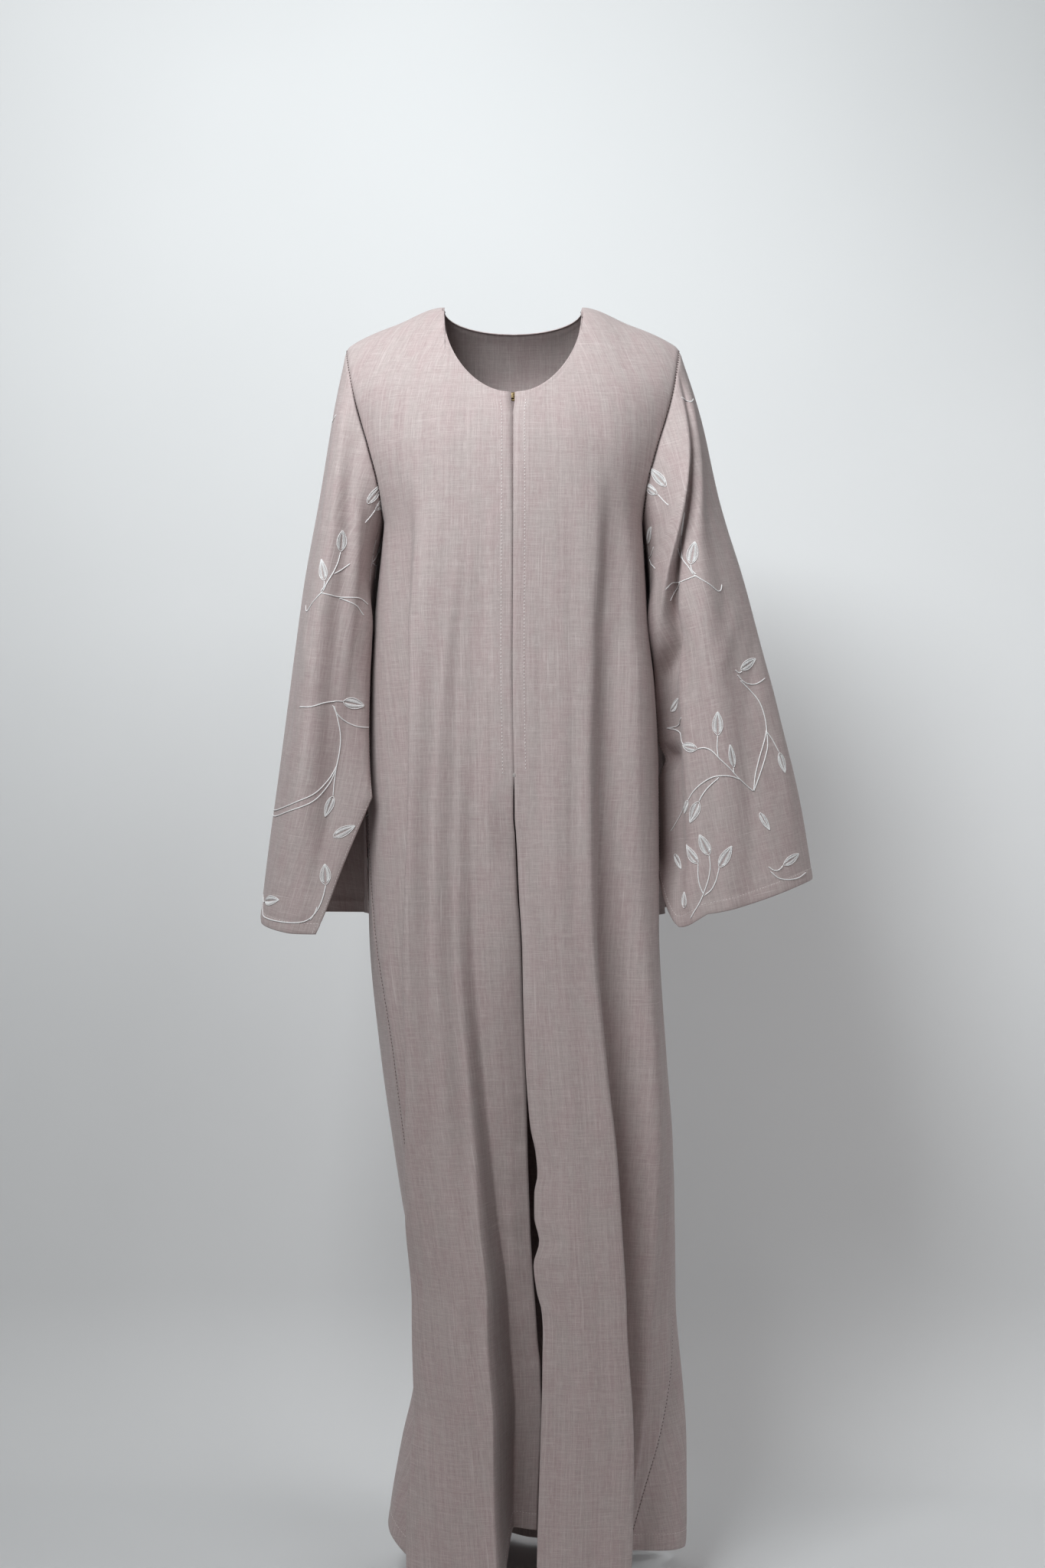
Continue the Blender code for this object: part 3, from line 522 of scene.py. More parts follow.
def rest_on_body(points, along, side):
    """Both slit edges lie against the body's side. The front one swings free where the slit stands open."""
    place = np.arange(SLEEVE_COLUMNS + 1)
    from_back = SLEEVE_COLUMNS - place
    count = EDGE_COLUMNS_MOVED[side]
    if side > 0:
        shape_left_face(points, along, place, from_back)
    right_x, left_x, ahead, behind, power = body_at(points[:, 2])
    half = np.abs(left_x if side > 0 else right_x)
    share = np.abs(points[:, 1]) / np.where(points[:, 1] < 0, ahead, behind)
    goal = half * (1 - np.clip(share, 0, 0.97) ** power) ** (1 / power) + SLEEVE_CLEARANCE
    if side < 0:
        swung = goal + OPEN_SLOPE * np.maximum(OPEN_BELOW - points[:, 2], 0)
        goal = np.where(place < SLEEVE_COLUMNS / 2, swung, goal)
    over = np.abs(points[:, 0]) - goal
    free = PUFF_FREE * bell(along - PUFF_AT, PUFF_WIDTH) if side > 0 else 0
    held = near(place, count) * (1 - free) + near(from_back, count)
    points[:, 0] -= side * rise(along, *REST_START) * over * held
    if side > 0:
        corner = np.maximum(1 - np.abs(place - CORNER_COLUMN) / CORNER_WIDTH, 0)
        lift = CUFF_RISE * near(place, CORNER_WIDTH) - CORNER_DROP * corner
        points[:, 2] += rise(along, *CUFF_START) * lift


def sleeve_grid(table, folds, front, back, side):
    """The sleeve's rings, which start as the armhole and ease into the plain sleeve."""
    ring0, _ = sleeve_ring(table, folds, 0.0, side)
    start = armhole_ring(front, back, side)
    rows = []
    angles = []
    for along in sleeve_steps():
        ring, angle = sleeve_ring(table, folds, along, side)
        ring = ring + (start - ring0) * (1 - ease(along / SLEEVE_BLEND))
        tuck_behind(ring, along, angle, side)
        rest_on_body(ring, along, side)
        rows.append(ring)
        angles.append(angle)
    return np.array(rows), np.array(angles)


def sleeve_steps():
    """Shares of the way down a sleeve: close together over the turned cuff."""
    low = [1.0] + [1 - d / SLEEVE_LENGTH for d in CUFF_ROWS]
    rest = np.linspace(0, low[-1], SLEEVE_ROWS - len(low) + 2)[:-1]
    return np.array(rest.tolist() + low[::-1])


# ---------------------------------------------------------------- finer shape


# The armpits' level is rounded over this spread, within this reach of it
ROUNDING_SPREAD, ROUNDING_REACH = 26, 60
CAP_SHARE = 0.16  # above it the sleeve's flat sheet keeps one width


def grid_normals(points, outward):
    """Unit normals of a grid, by central differences."""
    down = np.gradient(points, axis=0)
    over = np.gradient(points, axis=1)
    normal = np.cross(over, down) * outward
    length = np.linalg.norm(normal, axis=-1, keepdims=True)
    return normal / np.where(length < 1e-9, 1, length)


def lengths(points, axis, keep=(0, 1, 2)):
    """Running length along one axis of a grid, over the named coordinates."""
    step = np.linalg.norm(np.diff(points, axis=axis)[..., list(keep)], axis=-1)
    pad = [(0, 0), (0, 0)]
    pad[axis] = (1, 0)
    return np.cumsum(np.pad(step, pad), axis=axis)


def lengths_back(points, axis, keep=(0, 1, 2)):
    """The same, from the other end."""
    return np.flip(lengths(np.flip(points, axis), axis, keep), axis)


def crease(across, height, rows):
    """Soft ridges and troughs along straight lines in a panel's flat plane, in mm."""
    total = np.zeros_like(across)
    for from_a, from_h, to_a, to_h, width, out in rows:
        line = np.array([to_a - from_a, to_h - from_h], float)
        length = np.hypot(*line)
        part = ((across - from_a) * line[0] + (height - from_h) * line[1]) / length**2
        off = ((across - from_a) * line[1] - (height - from_h) * line[0]) / length
        taper = np.sin(np.pi * np.clip(part, 0, 1)) ** 0.8
        total += out * taper * bell(off, width)
    return total


# The soft ridge over the left front's side, with its reach to both sides
SIDE_RIDGE = Table("height x out left right", (
    (-1200, 170, 2, 16, 18),
    (-560, 152, 3, 14, 18),
    (-330, 138, 3, 12, 14),
    (-200, 118, 0, 12, 14),
))


def side_ridge(x, z):
    off = x - SIDE_RIDGE.at("x", z)
    reach = np.where(off < 0, SIDE_RIDGE.at("left", z), SIDE_RIDGE.at("right", z))
    return SIDE_RIDGE.at("out", z) * bell(off, reach)


def gentle(across, height, seed, size, out):
    """Low, broad unevenness: a few waves of different direction and length."""
    random = np.random.default_rng(seed)
    total = np.zeros_like(across)
    for _ in range(7):
        heading = random.uniform(-0.5, 0.5)
        length = size * random.uniform(0.7, 1.6)
        wave = (across * math.cos(heading) + height * math.sin(heading) * 0.45) / length
        total += np.sin(2 * np.pi * wave + random.uniform(0, 6.28))
    return out * total / 4


def soften_rows(points):
    """Rounds the form across the armpits' level, along each column, except at its sides."""
    count = points.shape[1]
    edge = np.minimum(np.arange(count), np.arange(count)[::-1]) / 7
    is_middle_edge = np.abs(points[-1, :, 0]) < NECK_HALF_WIDTH
    hold = np.where(is_middle_edge, 1, np.clip(edge, 0, 1))
    found = points.copy()
    for c in range(count):
        line = points[:, c]
        run = run_along(line)
        weight = bell(run[:, None] - run[None], ROUNDING_SPREAD) * np.gradient(run)[None]
        mean = weight @ line / weight.sum(1, keepdims=True)
        blend = hold[c] * bell(line[:, 2] - ARMPIT, ROUNDING_REACH)
        found[:, c] = line + (mean - line) * blend[:, None]
    return found


def new_object(name, points, faces, material):
    mesh = bpy.data.meshes.new(name)
    mesh.from_pydata(points, [], faces)
    mesh.materials.append(material)
    obj = bpy.data.objects.new(name, mesh)
    bpy.context.scene.collection.objects.link(obj)
    return obj


def mesh_object(name, points, faces, material, uv=None):
    """A piece of the cloak, from points in mm."""
    obj = new_object(name, (points * MM).tolist(), faces, material)
    mesh = obj.data
    if uv is not None:
        layer = mesh.uv_layers.new(name="cloth")
        corner = np.zeros(len(mesh.loops), np.int32)
        mesh.loops.foreach_get("vertex_index", corner)
        layer.uv.foreach_set("vector", (uv[corner] * MM).astype(np.float32).ravel())
    mesh.shade_smooth()
    mesh.validate()
    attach(obj, "root")
    return obj


def cloth_shell(name, panel, thickness, material):
    """A closed shell of a panel's grid: the outer sheet, an inner sheet and the rim."""
    outer = panel["grid"]
    rows, cols = outer.shape[:2]
    inner = outer - panel["normals"] * thickness[..., None]
    points = np.concatenate([outer.reshape(-1, 3), inner.reshape(-1, 3)])
    uvs = np.tile(panel["uv"].reshape(-1, 2), (2, 1))
    index = np.arange(rows * cols).reshape(rows, cols)
    quads = np.stack([index[:-1, :-1], index[:-1, 1:], index[1:, 1:], index[1:, :-1]], -1).reshape(-1, 4)
    ring = np.concatenate([index[0, :-1], index[:-1, -1], index[-1, :0:-1], index[:0:-1, 0]])
    after = np.roll(ring, -1)
    rim = np.stack([after, ring, ring + rows * cols, after + rows * cols], -1)
    faces = np.concatenate([quads, quads[:, ::-1] + rows * cols, rim])
    if panel["outward"] < 0:
        faces = faces[:, ::-1]
    return mesh_object(name, points, faces.tolist(), material, uvs)


# ---------------------------------------------------------------- materials


def set_inputs(node, **numbers):
    """Sets sockets by name, with _ where the name has a space."""
    for name, number in numbers.items():
        node.inputs[name.replace("_", " ")].default_value = number


class Nodes:
    """Short ways to add nodes to a material."""

    def __init__(self, name):
        self.material = bpy.data.materials.new(name)
        self.material.use_nodes = True
        self.tree = self.material.node_tree
        self.shader = self.tree.nodes["Principled BSDF"]

    def add(self, kind, **settings):
        node = self.tree.nodes.new(kind)
        for key, value in settings.items():
            setattr(node, key, value)
        return node

    def value(self, socket, source):
        if isinstance(source, bpy.types.NodeSocket):
            self.tree.links.new(source, socket)
        else:
            socket.default_value = source

    def color_from(self, source):
        self.value(self.shader.inputs["Base Color"], source)

    def math(self, operation, a, b):
        node = self.add("ShaderNodeMath", operation=operation)
        self.value(node.inputs[0], a)
        self.value(node.inputs[1], b)
        return node.outputs[0]

    def noise(self, vector, scale, detail, rough):
        node = self.add("ShaderNodeTexNoise", noise_dimensions="3D")
        self.value(node.inputs["Vector"], vector)
        set_inputs(node, Scale=scale, Detail=detail, Roughness=rough)
        return node.outputs["Fac"]

    def place_noise(self, scale, detail, rough):
        place = self.add("ShaderNodeTexCoord").outputs["Object"]
        return self.noise(place, scale, detail, rough)

    def stretch(self, vector, x, y, shift):
        node = self.add("ShaderNodeMapping")
        self.value(node.inputs["Vector"], vector)
        set_inputs(node, Scale=(x, y, 1.0), Location=(shift, shift * 0.7, shift * 1.3))
        return node.outputs[0]

    def between(self, fac, low, high, at_low=0.0, at_high=1.0):
        node = self.add("ShaderNodeMapRange", interpolation_type="SMOOTHSTEP")
        self.value(node.inputs["Value"], fac)
        set_inputs(node, From_Min=low, From_Max=high, To_Min=at_low, To_Max=at_high)
        return node.outputs["Result"]

    def mix(self, fac, *colors):
        node = self.add("ShaderNodeMix", data_type="RGBA")
        self.value(node.inputs["Factor"], fac)
        for name, color in zip("AB", colors):
            self.value(node.inputs[name], (*color, 1) if isinstance(color, tuple) else color)
        return node.outputs["Result"]


LINEN_PINK = (0.419, 0.326, 0.323)
LINEN_GREY = (0.419, 0.353, 0.343)
LINEN_LIGHT = (0.624, 0.546, 0.533)
LINEN_DARK = (0.283, 0.217, 0.212)
WEAVE = (
    # stretch across the warp, stretch down it, shift, detail, roughness
    (1350, 60, 0, 2.0, 0.6),  # warp threads
    (60, 1350, 7, 2.0, 0.6),  # weft threads
    (420, 7, 13, 2.0, 0.6),  # bands of thicker warp
    (8, 420, 23, 2.0, 0.6),  # bands of thicker weft
    (640, 11, 31, 1.0, 0.4),  # slubs in the warp
    (13, 640, 43, 1.0, 0.4),  # slubs in the weft
    (60, 26, 5, 3.0, 0.6),  # broad patches
    (1000, 1000, 3, 2.0, 0.7),  # mottle
)


def linen_material():
    """Plain-woven, slubby linen look. The map is in metres: x across the warp, y down it."""
    m = Nodes("dusty mauve linen")
    uv = m.add("ShaderNodeUVMap", uv_map="cloth").outputs["UV"]
    warp, weft, warp_band, weft_band, warp_slub, weft_slub, patch, mottle = (
        m.noise(m.stretch(uv, across, down, shift), 1.0, detail, rough)
        for across, down, shift, detail, rough in WEAVE
    )
    tone = m.mix(m.between(patch, 0.3, 0.7), LINEN_PINK, LINEN_GREY)
    for fac, low, high, at_low, at_high, color in (
        (warp_band, 0.42, 0.75, 0, 0.24, LINEN_LIGHT),
        (weft_band, 0.45, 0.78, 0, 0.16, LINEN_LIGHT),
        (warp_band, 0.25, 0.5, 0.2, 0, LINEN_DARK),
        (weft_band, 0.25, 0.5, 0.13, 0, LINEN_DARK),
        (warp, 0.45, 0.75, 0, 0.5, LINEN_LIGHT),
        (weft, 0.45, 0.75, 0, 0.46, LINEN_LIGHT),
        (mottle, 0.5, 0.8, 0, 0.5, LINEN_DARK),
    ):
        tone = m.mix(m.between(fac, low, high, at_low, at_high), tone, color)
    warp_line = m.between(warp_slub, 0.685, 0.78, 0, 0.5)
    weft_line = m.between(weft_slub, 0.70, 0.80, 0, 0.5)
    tone = m.mix(warp_line, tone, LINEN_LIGHT)
    tone = m.mix(weft_line, tone, LINEN_LIGHT)
    m.color_from(tone)
    set_inputs(m.shader, Roughness=0.88, Sheen_Weight=0.12, Sheen_Roughness=0.45, Specular_IOR_Level=0.25)
    height = m.math("ADD", m.math("MULTIPLY", warp, 0.6), m.math("MULTIPLY", weft, 0.6))
    height = m.math("ADD", height, m.math("MULTIPLY", m.math("ADD", warp_line, weft_line), 0.8))
    bump = m.add("ShaderNodeBump")
    set_inputs(bump, Strength=0.32, Distance=0.0005)
    m.value(bump.inputs["Height"], height)
    m.value(m.shader.inputs["Normal"], bump.outputs["Normal"])
    return m.material


def thread_material(name, color, roughness, sheen):
    m = Nodes(name)
    fleck = m.place_noise(900, 2.0, 0.6)
    dull = tuple(c * 0.82 for c in color)
    m.color_from(m.mix(m.between(fleck, 0.3, 0.7), dull, color))
    set_inputs(m.shader, Roughness=roughness, Sheen_Weight=sheen)
    return m.material


def brass_material():
    m = Nodes("antique brass")
    worn = m.place_noise(420, 3.0, 0.6)
    m.color_from(m.mix(m.between(worn, 0.42, 0.62), (0.22, 0.16, 0.08), (0.40, 0.30, 0.17)))
    m.value(m.shader.inputs["Roughness"], m.between(worn, 0.3, 0.7, 0.5, 0.36))
    set_inputs(m.shader, Metallic=1.0)
    return m.material


# ---------------------------------------------------------------- the panels

# Each front edge keeps the plain form below a height
EDGE_SHIFT_ENDS = {"right": -1180, "left": -1380}
EDGE_SHIFT_FADE = 60
EDGE_SHIFT_REACH = 55
EDGE_TUCK_WIDTH = 9


def move_front_edge(line, name):
    """Lays a front edge, the first column here, along its line. The shift fades out beside it."""
    away = lengths(line, 1, (0, 1))
    heights = line[:, 0, 2]
    shift = FRONT_EDGES.at(name + "_x", heights) - line[:, 0, 0]
    shift *= 1 - fall(heights, EDGE_SHIFT_ENDS[name], EDGE_SHIFT_FADE)
    tuck = FRONT_EDGES.at(name + "_tuck", heights)
    line[:, :, 0] += shift[:, None] * (1 - ease(away / EDGE_SHIFT_REACH))
    line[:, :, 1] += tuck[:, None] * bell(away, EDGE_TUCK_WIDTH)


CREASES = {
    # across and height or way down at one end, the same at the other end, width, out
    "front_left": (
        (60, -100, 86, -330, 16, 1.4), (84, -150, 118, -420, 14, 1.6), (30, -330, 24, -700, 18, -1.0),
        (70, -420, 82, -900, 14, -1.2), (20, -620, 42, -930, 9, -0.9), (8, -950, 44, -975, 5, 0.9),
        (6, -1018, 40, -1036, 5, -0.9), (6, -1075, 44, -1060, 6, 1.0), (4, -1118, 30, -1150, 6, 0.9),
        (60, -700, 66, -1400, 15, 1.1), (110, -520, 124, -1000, 12, 1.2),
        (150, -640, 170, -1200, 12, -1.6), (190, -560, 205, -1150, 12, 1.5),
        (226, -700, 236, -1300, 12, -1.3), (150, -270, 112, -420, 10, 1.6),
        (152, -262, 130, -360, 7, -1.2),
    ),
    "front_right": (
        (0, -543, 21, -522, 5.0, 3.0), (1, -552, 18, -540, 4.5, -2.2), (0, -561, 18, -557, 5.0, 2.4),
        (2, -552, 18, -575, 3.5, 1.0), (0, -530, 10, -515, 3, -0.9), (70, -120, 96, -420, 15, 1.4),
        (40, -640, 56, -1010, 14, -2.0), (60, -700, 74, -1100, 12, 1.2), (14, -860, 26, -1180, 8, 1.0),
        (4, -905, 34, -893, 4.5, 0.9), (4, -958, 30, -946, 4.5, -1.0), (4, -985, 38, -976, 5, 1.0),
        (4, -1012, 30, -1002, 4, -1.0), (4, -1040, 40, -1036, 4.5, 1.1), (4, -1066, 32, -1058, 4, -1.1),
        (4, -1096, 44, -1090, 5, 1.2), (4, -1128, 30, -1118, 4, -1.0), (4, -1160, 38, -1152, 5, 1.0),
        (4, -1206, 30, -1196, 5, -0.9), (120, -420, 134, -900, 12, 1.2),
        (160, -560, 176, -1240, 12, -1.5), (190, -640, 205, -1180, 13, 1.4),
        (150, -270, 108, -420, 10, 1.6), (152, -262, 128, -360, 7, -1.2),
    ),
    "back": (
        (-150, -262, -96, -430, 11, 1.6), (150, -262, 96, -430, 11, 1.6),
        (-60, -120, -50, -420, 16, -1.5), (60, -120, 52, -420, 16, -1.5), (0, -60, 4, -330, 20, 1.3),
        (-190, -560, -230, -1200, 13, 1.6), (-120, -620, -140, -1250, 12, -1.3),
        (-30, -700, -44, -1300, 12, 1.2), (40, -560, 62, -1160, 12, -1.3),
        (120, -640, 150, -1260, 12, 1.4), (190, -540, 224, -1180, 13, -1.5),
        (-110, -80, -60, -140, 9, 1.1), (110, -80, 60, -140, 9, 1.1),
    ),
    "sleeve_left": (
        (40, 40, 96, 230, 9, 1.6), (20, 60, 60, 260, 9, -1.4), (-10, 40, 20, 220, 11, 1.2),
        (60, 300, 120, 380, 12, 1.8), (40, 330, 80, 430, 10, -1.6), (20, 380, 60, 600, 12, 1.2),
        (90, 420, 110, 620, 10, -1.1), (-60, 200, -70, 560, 14, 1.6), (-130, 120, -150, 520, 12, -1.6),
        (-190, 200, -200, 560, 12, 1.4),
    ),
    "sleeve_right": (
        (30, 50, 70, 230, 10, 1.4), (60, 60, 90, 300, 9, -1.3), (50, 300, 100, 400, 12, 1.6),
        (30, 340, 60, 460, 10, -1.3), (90, 420, 110, 600, 10, 1.1), (-60, 180, -70, 560, 14, 1.6),
        (-130, 120, -150, 520, 12, -1.6), (-190, 200, -200, 560, 12, 1.4),
    ),
}
UNEVEN_SEEDS = {"front_left": 1, "front_right": 2, "back": 3, "sleeve_left": 11, "sleeve_right": 12}
BODY_WAVES = (90, 0.8)  # length, height
SLEEVE_WAVES = (70, 0.7)
SEAM_FADE = 40  # creases fade out this near to a seam at the top
SLIT_OPENING = 0.04  # over what share of the sleeve its seam turns into a hemmed slit


def hem_relief(distance, depth):
    """How a turned hem shows outside: a low welt, a dent along its stitching, a round edge."""
    welt = 0.12 * (1 - ease((distance - depth + 4) / 4))
    dent = -0.28 * bell(distance - depth, 1.5)
    edge = -0.5 * bell(distance, 1.2)
    return welt + dent + edge


def seam_relief(distance):
    """Cloth rolls in over the last millimetres before a seam."""
    return -1.0 * bell(distance, 1.9) + 0.25 * bell(distance - 6, 3)


def make_panels():
    """Each panel's grid of points in mm, with its normals and its flat places."""
    front_left = body_grid(FRONT_LEFT_FOLDS)
    front_right = body_grid(FRONT_RIGHT_FOLDS)
    back = body_grid(BACK_FOLDS)
    sleeve_left, angles_left = sleeve_grid(LEFT_SLEEVE, LEFT_SLEEVE_FOLDS, front_left, back, 1)
    sleeve_right, angles_right = sleeve_grid(RIGHT_SLEEVE, RIGHT_SLEEVE_FOLDS, front_right, back, -1)
    front_left, front_right, back = map(soften_rows, (front_left, front_right, back))
    back_middle = int(np.argmin(np.abs(back[-1, :, 0])))
    panels = {
        "front_left": {"grid": front_left, "outward": 1, "start": 0},
        "back": {"grid": back, "outward": 1, "start": back_middle},
        "front_right": {"grid": front_right, "outward": 1, "start": front_right.shape[1] - 1},
        "sleeve_left": {"grid": sleeve_left, "outward": -1, "angles": angles_left},
        "sleeve_right": {"grid": sleeve_right, "outward": 1, "angles": angles_right},
    }
    for name, panel in panels.items():
        if name.startswith("sleeve"):
            flat_sleeve(panel)
        else:
            flat_body(panel)
    move_front_edge(front_left, "left")
    move_front_edge(front_right[:, ::-1], "right")
    for panel in panels.values():
        panel["normals"] = grid_normals(panel["grid"], panel["outward"])
    for name, panel in panels.items():
        panel["grid"] = panel["grid"] + panel["normals"] * relief(name, panel)[..., None]
        if name.startswith("front"):
            clear_tape(panel["grid"])
        panel["normals"] = grid_normals(panel["grid"], panel["outward"])
    share_edge_normals(panels)
    open_gaps(panels)
    return panels


def flat_body(panel):
    """Where each point lies on the uncurved panel, in mm from the middle line and the armpit."""
    grid = panel["grid"]
    over = lengths(grid, 1, (0, 1))
    up = lengths(grid, 0, (1, 2))
    across = over - over[:, panel["start"]][:, None]
    panel["uv"] = np.stack([across, up[LOWER_ROWS][None] - up], -1)
    panel["across"] = across


def flat_sleeve(panel):
    """The same for a sleeve, from its outer middle line and its top."""
    grid = panel["grid"]
    angles = panel["angles"]
    outer = int(np.argmin(np.abs(angles[len(angles) // 2])))
    axis = grid[-1, outer] - grid[0, outer]
    axis /= np.linalg.norm(axis)
    down = (grid - grid[0, outer]) @ axis
    step = np.diff(grid, axis=1)
    drop = step @ axis
    across = np.sqrt(np.maximum((step**2).sum(-1) - drop**2, 0))
    across = np.cumsum(np.pad(across, ((0, 0), (1, 0))), axis=1)
    across = across[:, outer][:, None] - across
    cap = int(np.searchsorted(sleeve_steps(), CAP_SHARE))
    across[:cap] = across[cap]
    panel["uv"] = np.stack([across, down], -1)
    panel["down"] = down
    panel["across"] = across
    panel["to_cuff"] = lengths_back(grid, 0)


TAPE_CLEARANCE = 2.0
TAPE_SIDE, TAPE_LOW, TAPE_HIGH = (30, 9), (-640, 92), (-116, 8)  # where that ends, and over what length
# How far forward the zip's tapes reach: height, y
TAPE_FRONT = ((-540, -128), (-450, -126.2), (-400, -125.0), (-250, -122.8), (-150, -111.6), (-120, -102))


def clear_tape(grid):
    """Keeps the front edges ahead of the zip's tapes."""
    height = grid[..., 2]
    depth = np.interp(height, *zip(*TAPE_FRONT)) - TAPE_CLEARANCE
    weight = fall(np.abs(grid[..., 0]), *TAPE_SIDE) * rise(height, *TAPE_LOW) * fall(height, *TAPE_HIGH)
    grid[..., 1] += weight * np.minimum(depth - grid[..., 1], 0)


def relief(name, panel):
    """The finer shape on a panel: creases, seams, hems and a little unevenness, in mm outwards."""
    if name.startswith("sleeve"):
        return sleeve_relief(name, panel)
    grid, across = panel["grid"], panel["across"]
    height = grid[..., 2]
    out = crease(across if name == "back" else np.abs(across), height, CREASES[name])
    if name == "front_left":
        out += np.where(grid[..., 1] < 0, side_ridge(grid[..., 0], height), 0)
    out += gentle(across, height, UNEVEN_SEEDS[name], *BODY_WAVES)
    to_top = lengths_back(grid, 0)
    out *= ease(to_top / SEAM_FADE)
    out += hem_relief(lengths(grid, 0), HEM_DEPTH)
    for away, corner in ((lengths(grid, 1), grid[-1, 0]), (lengths_back(grid, 1), grid[-1, -1])):
        if abs(corner[0]) > NECK_HALF_WIDTH:
            out += seam_relief(away)
        else:
            below_zip = fall(height, ZIP_END, 60)
            out += 0.8 * hem_relief(away, FACING_STITCHES) * (1 - 0.6 * below_zip)
    out += np.where(on_shoulder(grid), seam_relief(to_top), hem_relief(to_top, NECK_HEM))
    return out


def sleeve_relief(name, panel):
    """The same for a sleeve, whose edges are seamed above the slit and hemmed along it."""
    grid = panel["grid"]
    from_armhole = lengths(grid, 0)
    out = crease(panel["across"], panel["down"], CREASES[name])
    out += gentle(panel["across"], panel["down"], UNEVEN_SEEDS[name], *SLEEVE_WAVES)
    out *= ease(from_armhole / SEAM_FADE)
    out += seam_relief(from_armhole)
    out += hem_relief(panel["to_cuff"], CUFF_DEPTH)
    is_open = rise(sleeve_steps()[:, None], SLIT_START, SLIT_OPENING)
    from_edge = np.minimum(lengths(grid, 1), lengths_back(grid, 1))
    return out + (seam_relief(from_edge) * (1 - is_open) + hem_relief(from_edge, SLIT_HEM) * is_open)


def on_shoulder(grid):
    """Which columns end at a shoulder seam, not at the neck."""
    return np.abs(grid[-1][:, 0]) > NECK_HALF_WIDTH - 0.5


def share_edge_normals(panels):
    """Gives both sides of each seam the same normals."""
    left, right, back = (panels[name] for name in ("front_left", "front_right", "back"))
    low = slice(0, LOWER_ROWS + 1)
    for front, front_end, back_end in ((left, -1, 0), (right, 0, -1)):
        both = unit(front["normals"][low, front_end] + back["normals"][low, back_end])
        front["normals"][low, front_end] = both
        back["normals"][low, back_end] = both
    for panel in (left, right, back):
        panel["normals"][-1, on_shoulder(panel["grid"]), 1] = 0
        panel["normals"][-1] = unit(panel["normals"][-1])


def open_gaps(panels):
    """Parts the panels by the seams' gap."""
    half = SEAM_GAP / 2
    for name, panel in panels.items():
        grid = panel["grid"]
        before = grid.copy()
        is_sleeve = name.startswith("sleeve")
        if is_sleeve:
            grid[0] += unit(before[1] - before[0]) * half * 1.5
        else:
            grid[-1][on_shoulder(before), 1] += half if name == "back" else -half
        for end, beside in ((0, 1), (-1, -2)):
            if is_sleeve or abs(before[-1, end, 0]) >= NECK_HALF_WIDTH:
                grid[:, end] += unit(before[:, beside] - before[:, end]) * half


def make_cloth(panels, linen):
    for name, panel in panels.items():
        grid = panel["grid"]
        thick = np.full(grid.shape[:2], CLOTH)
        if name.startswith("sleeve"):
            thick[panel["to_cuff"] < CUFF_DEPTH + 0.1] = TURNED
        else:
            thick[lengths(grid, 0) < HEM_DEPTH + 0.1] = TURNED
        if name.startswith("front"):
            away = lengths(grid, 1) if name == "front_left" else lengths_back(grid, 1)
            thick[away < FACING] = TURNED
        obj = cloth_shell(name + "_cloth", panel, thick, linen)
        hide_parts(name)


# ---------------------------------------------------------------- sewing

STITCH_RINGS = ((0.14, 0.74), (0.5, 1.0), (0.86, 0.74))  # share of the way, share of the radius
STITCH_SIDES = 5
SHORTEST_STITCH = 0.05
SEARCH_ROUNDS = 5  # how often a place on a sheet is looked for by turns along its rows and columns
# Rows of machine stitching: stitch, gap, radius
HEM_THREAD = (2.3, 1.2, 0.22)
PLACKET_THREAD = (2.5, 1.5, 0.4)
# the side seams' row is near-black thread sunk into the seam: painted shade of its groove, not real
# stitching
SEAM_SHADOW_THREAD = (2.1, 2.05, 0.8)
PLACKET_ROWS = {"front_right": (-1, 12.5), "front_left": (0, 12.8)}  # which end, how far from it
MACHINE_ARCH = 0.12  # how far a stitch stands up in its middle
PLACKET_TOP = -120
SLIT_STITCHES = 5.5
# The bar across the zip's end: how many stitches, their step, and both ends from the middle
BAR_STITCHES, BAR_STEP = 5, 0.8
BAR_START, BAR_END = (-2.4, 0, -0.5), (1.6, 0, 0.5)
BAR_RADIUS, BAR_ARCH = 0.22, 0.3
# The zip's coil: its step, how deep it lies, and each turn's ends across the middle
COIL_STEP, COIL_BEHIND = 1.3, 3.1
COIL_START, COIL_END, COIL_RISE = 2.0, 0.9, (0, 0, 0.5)
COIL_RADIUS, COIL_ARCH = 0.42, 0.5
# Stem stitch and the leaves, by hand
STEM_STITCH, STEM_STEP, STEM_RADIUS, STEM_ARCH, STEM_LEAN = 4.4, 1.9, 0.6, 0.22, 0.42
OUTLINE_STITCH, OUTLINE_STEP, OUTLINE_RADIUS, OUTLINE_ARCH = 2.8, 1.7, 0.55, 0.25
OUTLINE_POINTS = 17
FILL_STEP, FILL_RADIUS, FILL_ARCH, FILL_SLANT = 1.15, 0.42, 0.30, 0.34
FILL_BASE, FILL_TIP = 2.2, 2.0  # left bare at a leaf's ends
FILL_FROM, FILL_TO, FILL_LAST = 0.10, 0.90, 0.985  # shares of the width, and of the length


